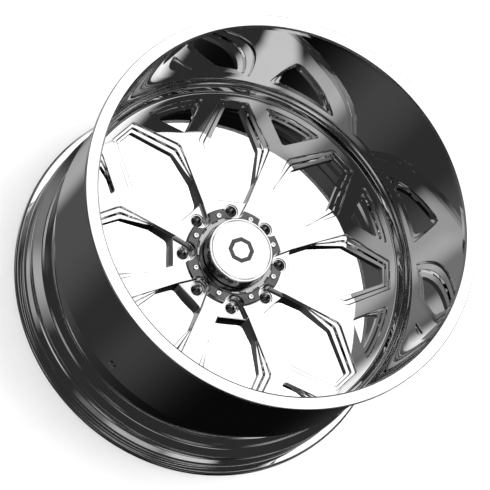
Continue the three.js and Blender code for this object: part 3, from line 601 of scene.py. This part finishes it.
def centre_disc():
    bm = bmesh.new()
    kind = bm.faces.layers.int.new("kind")

    def strip(line_a, line_b):
        va = [bm.verts.new(p) for p in line_a]
        vb = [bm.verts.new(p) for p in line_b]
        for i in range(len(va) - 1):
            bm.faces.new((va[i], va[i + 1], vb[i + 1], vb[i]))

    def surface(polygon, spacing, height, tag):
        points, faces = fill(clean(polygon), spacing)
        verts = [bm.verts.new((x, y, height(math.hypot(x, y)))) for x, y in points]
        for f in faces:
            bm.faces.new([verts[i] for i in f])[kind] = tag

    def lift(line, z):
        return [(x, y, z) for x, y in line]

    def on_back(line, above=0.0):
        return [(x, y, back_z(math.hypot(x, y)) + above) for x, y in line]

    def sector_arc(radius, steps):
        return [(radius * math.sin(HALF_STEP * k / steps), radius * math.cos(HALF_STEP * k / steps))
                for k in range(steps + 1)]

    levels, n_top, n_side, n_pocket = big_window_levels()
    start_low, start_pocket = n_top, n_top + n_side
    faces_z = [face_z(math.hypot(*p))[0] for p in levels[0]]

    rows = []
    for k, line in enumerate(levels):
        rows.append([(x, y, faces_z[i] - DEPTHS[k]) for i, (x, y) in enumerate(line)])
    floor = offset_line(levels[0][start_low:], INSET[8])
    rows.append(lift(levels[7][:start_low] + floor, POCKET_FLOOR_Z))
    for a, b in zip(rows, rows[1:]):
        strip(a, b)

    # below the pocket floor: the window goes on to the back, with rounded corners at the hub
    window_low = rows[8][: start_pocket + 1]
    hub_corner = window_low[-1][:2]
    hub_line = straight(hub_corner, (0.0, HUB_RADIUS), 10)
    side_at_back = [p[:2] for p in window_low]
    r_back = 14.0
    bend = corner(side_at_back[start_low], (hub_corner[0], hub_corner[1]), (0.0, HUB_RADIUS), r_back, 8)
    lower_side = straight(side_at_back[start_low], bend[0], n_side - 4) + bend[1:5]
    lower_hub = bend[4:] + straight(bend[-1], (0.0, HUB_RADIUS), 6)[1:]
    back_line = side_at_back[:start_low] + lower_side
    back_side = on_back(back_line, BACK_BREAK)
    strip(window_low, back_side)
    hub_back = on_back(lower_hub, BACK_BREAK)
    # the shelf's outer edge is broken by a chamfer that runs out at the corner
    chamfer = [1.3 * min(1.0, (hub_corner[0] - x) / 3) for x, _ in hub_line]
    shelf_edge = [(x, y - c) for (x, y), c in zip(hub_line, chamfer)]
    under_edge = [(x, y, POCKET_FLOOR_Z - c) for (x, y), c in zip(hub_line, chamfer)]
    strip(lift(shelf_edge, POCKET_FLOOR_Z), under_edge)
    strip(under_edge, hub_back)
    full_back = [p[:2] for p in back_side] + [p[:2] for p in hub_back][1:]
    grown = offset_line(full_back, -1.0)
    grown[0] = (0.0, grown[0][1])
    grown[-1] = (0.0, grown[-1][1])
    strip(on_back(full_back, BACK_BREAK), on_back(grown))

    # fork window
    fork = [[from_spoke(u, v) for u, v in line] for line in fork_window_levels()]
    fork_rows = [[(x, y, FACE_Z - DEPTHS[k]) for x, y in line] for k, line in enumerate(fork)]
    fork_rows.append(lift(fork[7], DISC_BACK_Z + BACK_BREAK))
    grown_line = offset_line(fork_window_levels()[7], -1.0)
    grown_line[0], grown_line[-1] = (0.0, grown_line[0][1]), (0.0, grown_line[-1][1])
    grown_fork = [from_spoke(*p) for p in grown_line]
    fork_rows.append(on_back(grown_fork))
    for a, b in zip(fork_rows, fork_rows[1:]):
        strip(b, a)

    # the front face
    arc_steps = ROUND // (2 * SPOKES)
    outer_arc = sector_arc(FILLET_FOOT, arc_steps)
    bore_arc = sector_arc(BORE_RADIUS, 8)

    def on_spoke(r):
        return (r * math.sin(HALF_STEP), r * math.cos(HALF_STEP))

    apex_v = math.hypot(*fork[0][-1])
    spoke_line = [on_spoke(r) for r in np.linspace(BORE_RADIUS, apex_v, 34)][1:-1]
    face_outline = levels[0] + bore_arc + spoke_line + fork[0][::-1] + outer_arc[::-1]
    surface(face_outline, 4.5, lambda r: face_z(r)[0], FACE_CLASS)

    # pocket floor, lug seat and hole
    def half_circle(radius):
        return [(radius * math.sin(a), LUG_CIRCLE - radius * math.cos(a)) for a in np.linspace(0, math.pi, 25)]

    seat, hole = half_circle(LUG_SEAT), half_circle(LUG_HOLE)
    pocket_floor = [p[:2] for p in rows[8][start_pocket:]]
    floor_outline = shelf_edge[::-1] + pocket_floor[1:] + [(0.0, seat[0][1])] + seat[1:]
    surface(floor_outline, 4.0, lambda r: POCKET_FLOOR_Z, FLOOR_CLASS)
    seat_rows = [lift(half_circle(LUG_SEAT - inset), POCKET_FLOOR_Z - depth) for inset, depth in LUG_STEPS]
    seat_rows.append(on_back(hole))
    for a, b in zip(seat_rows, seat_rows[1:]):
        strip(a, b)

    # bore and back
    strip(lift(bore_arc, HUB_FACE_Z), lift(bore_arc, PAD_Z))
    grown_r = math.hypot(*grown_fork[-1])
    back_spoke = [on_spoke(r) for r in np.linspace(BORE_RADIUS, grown_r, 20)][1:-1]
    back_outline = (grown + [(0.0, PAD_RADIUS), (0.0, PAD_EDGE)] + hole[::-1] + bore_arc + back_spoke
                    + grown_fork[::-1] + outer_arc[::-1])
    surface(back_outline, 6.0, back_z, WALL_CLASS)

    # the rim of the disc: fillet, edge, and back
    rim = rounded([
        (FILLET_FOOT, FACE_Z, 0), (308.0, FACE_Z, 6.0), (313.2, -26.5, 1.2), (315.0, -24.4, 1.0),
        (316.6, -24.4, 0.5), (317.0, -25.6, 0.5), (318.6, -25.6, 0.5), (319.0, -23.0, 0.5),
        (DISC_RADIUS, -23.0, 0.4), (DISC_RADIUS, DISC_BACK_Z, 1.0), (FILLET_FOOT, DISC_BACK_Z, 0)], closed=False)
    for (a, _), (b, _) in zip(rim, rim[1:]):
        strip(*(lift(sector_arc(r, arc_steps), z) for r, z in (a, b)))

    # half a sector becomes a whole one, then the full round
    for vert in bm.verts:
        if abs(vert.co.x) < SEAM:
            vert.co.x = 0.0
    half = bm.verts[:] + bm.edges[:] + bm.faces[:]
    copy = bmesh.ops.duplicate(bm, geom=half)["geom"]
    mirrored = [g for g in copy if isinstance(g, bmesh.types.BMVert)]
    bmesh.ops.scale(bm, vec=(-1, 1, 1), verts=mirrored)
    bmesh.ops.reverse_faces(bm, faces=[g for g in copy if isinstance(g, bmesh.types.BMFace)])
    bmesh.ops.remove_doubles(bm, verts=bm.verts, dist=MERGE)
    sector = bm.verts[:] + bm.edges[:] + bm.faces[:]
    for i in range(1, SPOKES):
        made = bmesh.ops.duplicate(bm, geom=sector)["geom"]
        verts = [g for g in made if isinstance(g, bmesh.types.BMVert)]
        bmesh.ops.rotate(bm, verts=verts, cent=(0, 0, 0), matrix=Matrix.Rotation(2 * HALF_STEP * i, 3, "Z"))
    piece = from_bmesh("centre_disc_forging", bm, POLISHED, degrees=24)
    mesh = piece.data

    # exact normals on the flat and conical faces, so their reflections stay clean
    tags = mesh.attributes["kind"].data
    normals = np.zeros(len(mesh.loops) * 3, np.float32)
    mesh.corner_normals.foreach_get("vector", normals)
    normals = normals.reshape(-1, 3)
    for poly in mesh.polygons:
        tag = tags[poly.index].value
        if tag == WALL_CLASS:
            continue
        for loop in poly.loop_indices:
            co = mesh.vertices[mesh.loops[loop].vertex_index].co
            r = math.hypot(co.x, co.y)
            slope = face_z(r / MM)[1] if tag == FACE_CLASS else 0.0
            if tag == FACE_CLASS and slope == 0.0 and abs(poly.normal.z) < FLAT:
                slope = face_z(poly.center.xy.length / MM)[1]
            direction = Vector((-slope * co.x / r, -slope * co.y / r, 1.0)).normalized()
            normals[loop] = direction
    mesh.normals_split_custom_set(normals.tolist())
    return put(piece, "centre_disc")


def forget_normals(mesh):
    if "custom_normal" in mesh.attributes:
        mesh.attributes.remove(mesh.attributes["custom_normal"])


def weld_points(mesh):
    """Joins the points that sharp corners of a turned body hold in one place."""
    bm = bmesh.new()
    bm.from_mesh(mesh)
    bmesh.ops.remove_doubles(bm, verts=bm.verts, dist=WELD_DISTANCE)
    bmesh.ops.dissolve_degenerate(bm, edges=bm.edges, dist=WELD_DISTANCE)
    bm.to_mesh(mesh)
    bm.free()
    forget_normals(mesh)


def baked(piece, *modifiers):
    """Applies modifiers, given as (kind, values), and keeps the result as the piece's mesh."""
    weld_points(piece.data)
    for kind, values in modifiers:
        modifier = piece.modifiers.new(kind.lower(), kind)
        for key, value in values.items():
            setattr(modifier, key, value)
    bpy.context.view_layer.update()
    graph = bpy.context.evaluated_depsgraph_get()
    mesh = bpy.data.meshes.new_from_object(piece.evaluated_get(graph))
    piece.modifiers.clear()
    piece.data = mesh
    return piece


def drop(piece):
    bpy.data.objects.remove(piece)


def cut(piece, cutters, degrees):
    """Takes the cutters out of a piece, and shades it."""
    joined = bmesh.new()
    for cutter in cutters:
        mesh = cutter.data.copy()
        mesh.transform(cutter.matrix_world)
        joined.from_mesh(mesh)
        drop(cutter)
    mesh = bpy.data.meshes.new("cutters")
    joined.to_mesh(mesh)
    joined.free()
    weld_points(mesh)
    tool = bpy.data.objects.new("cutters", mesh)
    bpy.context.scene.collection.objects.link(tool)
    difference = {"object": tool, "operation": "DIFFERENCE", "solver": "EXACT", "use_self": True}
    baked(piece, ("BOOLEAN", difference))
    drop(tool)
    weld_points(piece.data)
    shade(piece.data, degrees)
    return piece


def edges_broken(piece, width, angle, degrees):
    """Bevels the edges sharper than an angle, and shades the piece."""
    baked(piece, ("BEVEL", {"width": width * MM, "segments": 2, "limit_method": "ANGLE",
                            "angle_limit": math.radians(angle)}))
    shade(piece.data, degrees)


def plug(radius, low, high, segments, x=0.0, y=0.0):
    profile = [(0, low, 0), (radius, low, 0), (radius, high, 0), (0, high, 0)]
    piece = turned("plug", profile, POLISHED, segments, Matrix.Translation((x, y, 0)))
    piece.data.materials.clear()
    return piece


def block(width, depth, low, high, x, y, angle):
    mesh = bpy.data.meshes.new("block")
    bm = bmesh.new()
    bmesh.ops.create_cube(bm, size=1.0)
    turn = Matrix.Translation(Vector((x, y, (low + high) / 2)) * MM) @ Matrix.Rotation(-angle, 4, "Z")
    bm.transform(turn @ Matrix.Diagonal((width * MM, depth * MM, (high - low) * MM, 1.0)))
    bm.to_mesh(mesh)
    bm.free()
    piece = bpy.data.objects.new("block", mesh)
    bpy.context.scene.collection.objects.link(piece)
    return piece


def around(radius, angle):
    return radius * math.sin(angle), radius * math.cos(angle)


# ---------------------------------------------------------------- centre cap
def cap_ring():
    ring = turned("cap_ring", [
        (RING_BORE, COUNTERBORE_TOP, 0.2), (COUNTERBORE, COUNTERBORE_TOP, 0.2), (COUNTERBORE, RING_BOTTOM_Z, 0),
        (RING_OUTER, RING_BOTTOM_Z, 0.2), (RING_OUTER, RING_TOP_Z - 1.5, 0.3), (RING_OUTER - 1.5, RING_TOP_Z, 0.3),
        (RING_COLLAR, RING_TOP_Z, 0.5), (RING_COLLAR, COLLAR_TOP_Z, 0.4), (RING_BORE, COLLAR_TOP_Z, 0.5)],
        DARK, FINE)
    cutters = []
    for i in range(SPOKES):
        lug, screw = around(LUG_CIRCLE, 2 * i * HALF_STEP), around(SCREW_CIRCLE, (2 * i + 1) * HALF_STEP)
        cutters.append(plug(RING_SCALLOP, RING_BOTTOM_Z - 2, COLLAR_TOP_Z + 2, 96, *lug))
        cutters.append(plug(SCREW_POCKET, RING_TOP_Z - SCREW_SINK, COLLAR_TOP_Z + 2, 48, *screw))
    for i in range(2 * SPOKES):
        angle = (i + 0.5) * HALF_STEP
        place = around(RING_COLLAR - 1.5, angle)
        cutters.append(block(NOTCH_WIDTH, NOTCH_DEPTH, RING_TOP_Z + 0.05, COLLAR_TOP_Z + 3, *place, angle))
    mesh = cut(ring, cutters, 30).data
    mesh.materials.append(SMOKED)
    for poly in mesh.polygons:  # the collar and the outer bevel are smoked chrome
        radii = [math.hypot(mesh.vertices[v].co.x, mesh.vertices[v].co.y) / MM for v in poly.vertices]
        bevel = min(radii) > RING_OUTER - 2.0 and 0.2 < poly.normal.z < 0.95
        if bevel or poly.center.z / MM > RING_TOP_Z + 0.2:
            poly.material_index = 1
    return put(ring, "cap_base_ring")


def cap_screws():
    top = SCREW_SEAT_Z + SCREW_HEAD
    first = turned("cap_screw", [
        (0, top - SCREW_LENGTH, 0), (2.2, top - SCREW_LENGTH, 0), (3.0, top - 20.3, 0.2),
        (3.0, top - SCREW_HEAD, 0.1), (5.2, top - SCREW_HEAD, 0.2), (5.2, top - 1.2, 0.4), (4.3, top, 0.5),
        (2.9, top, 0.1), (0, top, 0)], STEEL, 48)
    cut(first, [plug(2.35, top - 2.0, top + 1, 6)], 24)
    first.name = "cap_screw_head_1"
    for i in range(SPOKES):
        screw = first
        if i > 0:
            screw = bpy.data.objects.new(f"cap_screw_head_{i + 1}", first.data.copy())
            bpy.context.scene.collection.objects.link(screw)
        x, y = around(SCREW_CIRCLE, (2 * i + 1) * HALF_STEP)
        # no two are turned alike
        screw.matrix_world = Matrix.Translation((x * MM, y * MM, 0)) @ Matrix.Rotation(0.7 * i + 0.2, 4, "Z")
        put(screw, f"cap_screw_{i + 1}")


def cap():
    top = CAP_TOP_Z - LID_THICKNESS - FIT_GAP
    side = turned("cap_side", [
        (CAP_BASE_RADIUS - CAP_WALL, RING_BOTTOM_Z, 0.3), (CAP_FLANGE, RING_BOTTOM_Z, 0.5),
        (CAP_FLANGE, CAP_FLANGE_TOP, 0.5), (CAP_BASE_RADIUS, CAP_FLANGE_TOP, 0.5), (CAP_BASE_RADIUS, -33.1, 1.0),
        (CAP_TOP_RADIUS, top, 0.6), (CAP_TOP_RADIUS - CAP_WALL, top, 0.4)], SMOKED, FINE)
    put(side, "cap_housing")
    z = CAP_TOP_Z
    rim, groove, spigot = CAP_TOP_RADIUS, CAP_TOP_RADIUS - CAP_GROOVE_SETBACK, CAP_TOP_RADIUS - 3.8
    face = turned("cap_lid", [
        (0, z - 5.2, 0), (spigot, z - 5.2, 0.3), (spigot, z - LID_THICKNESS, 0.2), (rim, z - LID_THICKNESS, 0.3),
        (rim, z - 1.1, 0.5), (rim - 1.1, z, 0.5), (groove + 1.1, z, 0.3), (groove + 0.2, z - 0.9, 0.2),
        (groove - 0.2, z - 0.9, 0.2), (groove - 1.1, z, 0.3), (26, z, 0), (0, z, 0)], CAP_POLISHED, FINE)
    put(face, "cap_face")
    mark = turned("cap_mark", [
        (16, z - 1.2, 0), (24, z - 1.2, 0), (24, z + 0.4, 0), (16, z + 0.4, 0)], BLACK, SPOKES)
    edges_broken(mark, 0.3, 30, 20)
    put(mark, "cap_emblem")
    seal = turned("cap_seal_ring", [
        (60.8, -41.7, 0.9), (62.7, -41.7, 0.9), (62.7, -39.8, 0.9), (60.8, -39.8, 0.9)], RUBBER, 128)
    put(seal, "cap_o_ring")


def weld_beads():
    for name, node, foot, side in (("front_weld", "front_weld_bead", -22.7, 1),
                                   ("rear_weld", "rear_weld_bead", -60.3, -1)):
        section = [(DISC_RADIUS, foot, 0.2), (DISC_RADIUS, foot + side * 5.4, 0.2),
                   (DISC_RADIUS - 1.6, foot + side * 4.4, 1.5), (DISC_RADIUS - 3.6, foot + side * 1.8, 1.8),
                   (DISC_RADIUS - 5.4, foot, 0.2)]
        put(turned(name, section if side > 0 else section[::-1], WELD), node)


# ---------------------------------------------------------------- tyre valve
VALVE_Z, STEM_TIP = -4.0, 284.05
STEM_RADIUS, CORE_BORE, AIR_WAY = 3.88, 2.75, 1.2
HEAD_RADIUS, HEAD_START, HEAD_END = 7.6, 331.4, 333.4
GROMMET_BORE, NUT_CORNER = 4.2, 8.7
ON_VALVE = Matrix.Translation((0, 0, VALVE_Z)) @ Matrix.Rotation(math.pi / 2, 4, "X")


def valve_piece(name, node, profile, material, body="wheel"):
    return put(turned(name, profile, material, SMALL, ON_VALVE), node, body)


def threads(radius, start, end, pitch=0.8, depth=0.3):
    """Corners of a run of thread crests, for the outside of a turned profile."""
    count = int((end - start) / pitch)
    out = []
    for i in range(count):
        u = start + i * pitch
        out += [(radius - depth, u, 0.05), (radius, u + pitch * 0.4, 0.1), (radius, u + pitch * 0.6, 0.1)]
    return out


def spring(start, end, turns=4, wire=0.3, coil=1.25, sides=10, steps=160):
    """The core's coil spring, between the pin's collar and the stem's floor."""
    rings = []
    for k in range(steps + 1):
        share = k / steps
        angle = 2 * math.pi * turns * share
        u = start + wire + (end - start - 2 * wire) * share
        out = Vector((math.cos(angle), math.sin(angle), 0))
        rings.append([out * (coil + wire * math.cos(2 * math.pi * j / sides))
                      + Vector((0, 0, u + wire * math.sin(2 * math.pi * j / sides))) for j in range(sides)])
    verts = [(ON_VALVE @ v) * MM for ring in rings for v in ring]
    faces = [(k * sides + j, (k + 1) * sides + j, (k + 1) * sides + (j + 1) % sides, k * sides + (j + 1) % sides)
             for k in range(steps) for j in range(sides)]
    faces += [tuple(range(sides)), tuple(range(steps * sides, (steps + 1) * sides))[::-1]]
    mesh = bpy.data.meshes.new("core_spring")
    mesh.from_pydata(verts, [], faces)
    shade(mesh, 50)
    piece = new_object("core_spring", mesh, STEEL)
    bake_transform(piece)
    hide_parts("valve_core_spring")


def valve():
    tip = STEM_TIP
    valve_piece("stem", "valve_stem", [
        (CORE_BORE, tip, 0.2), (3.4, tip, 0.2), *threads(STEM_RADIUS, tip + 0.8, tip + 9),
        (STEM_RADIUS, tip + 9.6, 0.3), (STEM_RADIUS, tip + 26, 0.2), *threads(STEM_RADIUS, tip + 26.4, tip + 37),
        (STEM_RADIUS, 331.3, 0.2), (HEAD_RADIUS, HEAD_START, 0.3), (HEAD_RADIUS, HEAD_END, 0.8),
        (AIR_WAY, HEAD_END, 0.2), (AIR_WAY, tip + 25, 0.2), (CORE_BORE, tip + 25, 0.2)], BLACK)
    for name, node in (("outer_seal", "valve_outer_grommet"), ("inner_seal", "valve_inner_grommet")):
        low, high = (v / MM for v in (-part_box(node)[1].y, -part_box(node)[0].y))
        valve_piece(name, node, [
            (GROMMET_BORE, low, 0.2), (HEAD_RADIUS, low, 0.7), (HEAD_RADIUS, high, 0.7),
            (GROMMET_BORE, high, 0.2)], RUBBER)
    low, high = (v / MM for v in (-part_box("valve_nut")[1].y, -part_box("valve_nut")[0].y))
    nut = turned("hex_nut", [
        (GROMMET_BORE, low, 0.2), (HEAD_RADIUS, low, 0.2), (NUT_CORNER, low + 0.7, 0.1), (NUT_CORNER, high, 0.2),
        (GROMMET_BORE, high, 0.2)], BLACK, 6, ON_VALVE)
    edges_broken(nut, 0.25, 25, 20)
    put(nut, "valve_nut")
    core = tip + 3.2
    valve_piece("core_body", "valve_core_body", [
        (1.0, core, 0.1), (1.7, core, 0.2), *threads(2.35, core + 0.8, core + 5, 0.7, 0.25),
        (2.3, core + 6, 0.3), (1.9, core + 7, 0.3), (2.3, core + 9, 0.3), (1.0, core + 9, 0.1)], BRASS)
    pin_end = core + 9 + FIT_GAP + 1.0 + FIT_GAP  # past the core and its seal
    valve_piece("core_pin", "valve_core_pin", [
        (0, core - 2.2, 0), (0.6, core - 2.2, 0.3), (0.6, pin_end, 0.1), (1.9, pin_end, 0.2),
        (1.9, pin_end + 1.2, 0.2), (0, pin_end + 1.2, 0)], BRASS, "valve_pin")
    start = tip - 0.9 - 0.6 - 1.6  # the cap's end wall, its seal and a gap stand past the tip
    cap_piece = turned("dust_cap", [
        (0, start, 0), (3.8, start, 0.6), (5.3, start + 1.3, 0.6), (5.3, start + 2.4, 0.2),
        (5.1, start + 2.6, 0.2), (5.4, start + 3.0, 0.2), (5.4, start + 10.6, 0.3), (5.1, start + 11, 0.2),
        (4.2, start + 11, 0.2), (4.2, start + 1.6, 0.2), (0, start + 1.6, 0)], BLACK, 96, ON_VALVE)
    mesh = cap_piece.data
    for v in mesh.vertices:  # 24 grip ridges
        across = Vector((v.co.x, v.co.z - VALVE_Z * MM))
        u = -v.co.y / MM - start
        if across.length > 5.25 * MM and 2.9 < u < 10.7:
            ridge = 1 + 0.028 * (math.cos(24 * math.atan2(across.y, across.x)) - 1) / 2
            v.co.x *= ridge
            v.co.z = VALVE_Z * MM + across.y * ridge
    forget_normals(mesh)
    shade(mesh, 35)
    put(cap_piece, "valve_cap", "valve_cap")
    spring(pin_end + 1.5, tip + 24.7)
    for node in ("valve_core_seal", "valve_cap_seal"):  # these keep their CAD shape
        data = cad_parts[node].data
        data.materials.clear()
        data.materials.append(RUBBER)


barrel()
centre_disc()
weld_beads()
cap_ring()
cap_screws()
cap()
valve()


# ---------------------------------------------------------------- stage, light and camera
# the cove's radius and height, in metres
COVE = [(3.0, 0.0), (10.0, 0.0), (16.0, 0.8), (21.0, 4.0), (24.0, 9.0), (25.0, 16.0), (25.0, 30.0)]
COVE_SIDES, PAINTED_LIGHT_SIDES, PAINTED_LIGHT_RADIUS, PAINTED_LIGHT_RISE = 64, 96, 318, 0.6


def circle(radius, z, sides):
    """Points of a circle about the axle line, in the unit of its sizes."""
    return [(radius * math.cos(2 * math.pi * i / sides), radius * math.sin(2 * math.pi * i / sides), z)
            for i in range(sides)]


def floor():
    """A pale floor that turns up into a far wall, as a photographer's cove does."""
    n = Nodes("pale_floor")
    shades = [(0.3, (0.84, 0.84, 0.84)), (0.7, (0.87, 0.87, 0.87))]
    n.set(Base_Color=n.ramp(n.noise(3, 3, 0.5), shades), Roughness=0.9)
    distance = n.radius()[0]
    # it glows less near the wheel, which stands in for part of the shadow there
    n.set(Emission_Color=(1.0, 1.0, 1.0, 1.0), Emission_Strength=n.remap(distance, 0.04, 1.0, 0.55, 3.0))
    verts, faces = [], []
    for r, z in COVE:
        verts += circle(r, REAR_Z * MM + z, COVE_SIDES)
    for k in range(len(COVE) - 1):
        low, high = COVE_SIDES * k, COVE_SIDES * (k + 1)
        for i in range(COVE_SIDES):
            j = (i + 1) % COVE_SIDES
            faces.append((low + i, low + j, high + j, high + i))
    faces.append(tuple(range(COVE_SIDES)))
    mesh = bpy.data.meshes.new("floor")
    mesh.from_pydata(verts, [], faces)
    shade(mesh, 60)
    piece = new_object("floor", mesh, n.material)
    piece.visible_glossy = False


def painted_light_disc():
    """A glowing disc on the floor inside the barrel: painted light that covers the shade the barrel casts there, so
    that the windows look as pale as the floor outside.
    """
    n = Nodes("painted_light_disc")
    shades = [(0.3, (0.9, 0.9, 0.9)), (0.7, (0.95, 0.95, 0.95))]
    n.set(Base_Color=n.ramp(n.noise(3, 3, 0.5), shades), Roughness=0.9)
    # painted light: the disc glows, though it lights nothing, where the barrel's shade would fall
    n.set(Emission_Color=(1.0, 1.0, 1.0, 1.0), Emission_Strength=1.2)
    mesh = bpy.data.meshes.new("painted_light_disc")
    verts = circle(PAINTED_LIGHT_RADIUS * MM, (REAR_Z + PAINTED_LIGHT_RISE) * MM, PAINTED_LIGHT_SIDES)
    mesh.from_pydata(verts, [], [tuple(range(PAINTED_LIGHT_SIDES))])
    piece = new_object("painted_light_disc", mesh, n.material)
    piece.visible_glossy = False
    piece.visible_diffuse = False


DOME_LEVEL = 0.028
SOFTBOXES = [  # azimuth from +Y toward +X, elevation, full within, gone beyond (degrees), brightness
    (0, 62, 11, 25, 1.25),
    (108, 56, 4, 10, 0.62),
    (142, 60, 4, 13, 0.42),
    (166, 57, 3, 12, 0.12),
    (248, 60, 5, 15, 0.34),
    (284, 60, 4, 18, 0.16),
    (316, -58, 5, 15, 0.34),
    (272, -60, 4, 26, 0.05),
    (160, -54, 4, 24, 0.03),
    (30, -14, 8, 30, 0.75),
    (318, -14, 8, 30, 0.75),
    (85, -16, 6, 20, 0.40),
    (258, -14, 6, 22, 0.50),
    (205, -19, 6, 17, 0.60),
    (168, -19, 3, 10, 0.35),
    (128, -19, 3, 14, 0.45),
    (20, 21, 8, 24, 0.50),
    (316, 24, 7, 20, 0.80),
    (285, 22, 5, 18, 0.35),
    (66, 22, 5, 16, 0.30),
]
DARK_SIDE = (98, -62, 10, 36, 0.9)  # a black flag, on the same terms


def studio():
    """A dark dome with soft panels for the metal to reflect. The cove hides it from the camera."""
    world = bpy.data.worlds.new("studio")
    bpy.context.scene.world = world
    world.use_nodes = True
    tree = world.node_tree
    background = tree.nodes["Background"]
    coordinate = tree.nodes.new("ShaderNodeTexCoord")

    def node(kind, operation, a, b):
        made = tree.nodes.new(kind)
        made.operation = operation
        for socket, value in zip(made.inputs, (a, b)):
            if hasattr(value, "links"):
                tree.links.new(value, socket)
            else:
                socket.default_value = value
        return made.outputs["Value"]

    def number(operation, a, b):
        return node("ShaderNodeMath", operation, a, b)

    def toward(direction, near, far):
        """1 within the angle near of a direction, fading to 0 at the angle far."""
        vector = Vector(direction).normalized()
        dot = node("ShaderNodeVectorMath", "DOT_PRODUCT", coordinate.outputs["Generated"], tuple(vector))
        ranger = tree.nodes.new("ShaderNodeMapRange")
        ranger.interpolation_type = "SMOOTHSTEP"
        ranger.inputs["From Min"].default_value = math.cos(math.radians(far))
        ranger.inputs["From Max"].default_value = math.cos(math.radians(near))
        tree.links.new(dot, ranger.inputs["Value"])
        return ranger.outputs["Result"]

    def aim(azimuth, elevation):
        a, e = math.radians(azimuth), math.radians(elevation)
        return math.sin(a) * math.cos(e), math.cos(a) * math.cos(e), math.sin(e)

    level = None
    for azimuth, elevation, near, far, value in SOFTBOXES:
        share = number("MULTIPLY", toward(aim(azimuth, elevation), near, far), value)
        level = number("ADD", share, DOME_LEVEL if level is None else level)
    azimuth, elevation, near, far, value = DARK_SIDE
    shadow = number("MULTIPLY", toward(aim(azimuth, elevation), near, far), value)
    level = number("MULTIPLY", level, number("SUBTRACT", 1.0, shadow))
    combine = tree.nodes.new("ShaderNodeCombineColor")
    for socket in combine.inputs[:3]:
        tree.links.new(level, socket)
    tree.links.new(combine.outputs[0], background.inputs["Color"])
    background.inputs["Strength"].default_value = 1.0


SENSOR_WIDTH, FOCAL_RATIO = 36.0, 2789.24 / 490  # focal length over the picture's width
CAMERA_PLACE = (61.6, -2279.6, 4273.2)
CAMERA_RIGHT, CAMERA_UP, CAMERA_BACK = (0.6660, 0.6617, 0.3446), (-0.7459, 0.5824, 0.3231), (0.0132, -0.4722, 0.8814)
LAMP_PLACE, LAMP_SIZE, LAMP_WATTS = (0.5, 0.75, 3.2), 1.8, 75.0  # in metres


def camera():
    data = bpy.data.cameras.new("camera")
    data.sensor_width = SENSOR_WIDTH
    data.lens = FOCAL_RATIO * SENSOR_WIDTH
    data.clip_start, data.clip_end = 0.1, 100
    eye = bpy.data.objects.new("camera", data)
    turn = Matrix((CAMERA_RIGHT, CAMERA_UP, CAMERA_BACK)).transposed().to_4x4()
    eye.matrix_world = Matrix.Translation(Vector(CAMERA_PLACE) * MM) @ turn
    bpy.context.scene.collection.objects.link(eye)
    bpy.context.scene.camera = eye


def key_light():
    """Soft light from above and behind, only for the floor's shadow and the matt pieces."""
    data = bpy.data.lights.new("key", "AREA")
    data.shape, data.size, data.energy = "DISK", LAMP_SIZE, LAMP_WATTS
    lamp = bpy.data.objects.new("key", data)
    place = Vector(LAMP_PLACE)
    lamp.location = place
    lamp.rotation_mode = "QUATERNION"
    lamp.rotation_quaternion = (-place).to_track_quat("-Z", "Y")
    bpy.context.scene.collection.objects.link(lamp)
    lamp.visible_glossy = False


floor()
painted_light_disc()
studio()
key_light()
camera()
bpy.context.scene.view_settings.view_transform = "Standard"

bpy.context.view_layer.update()
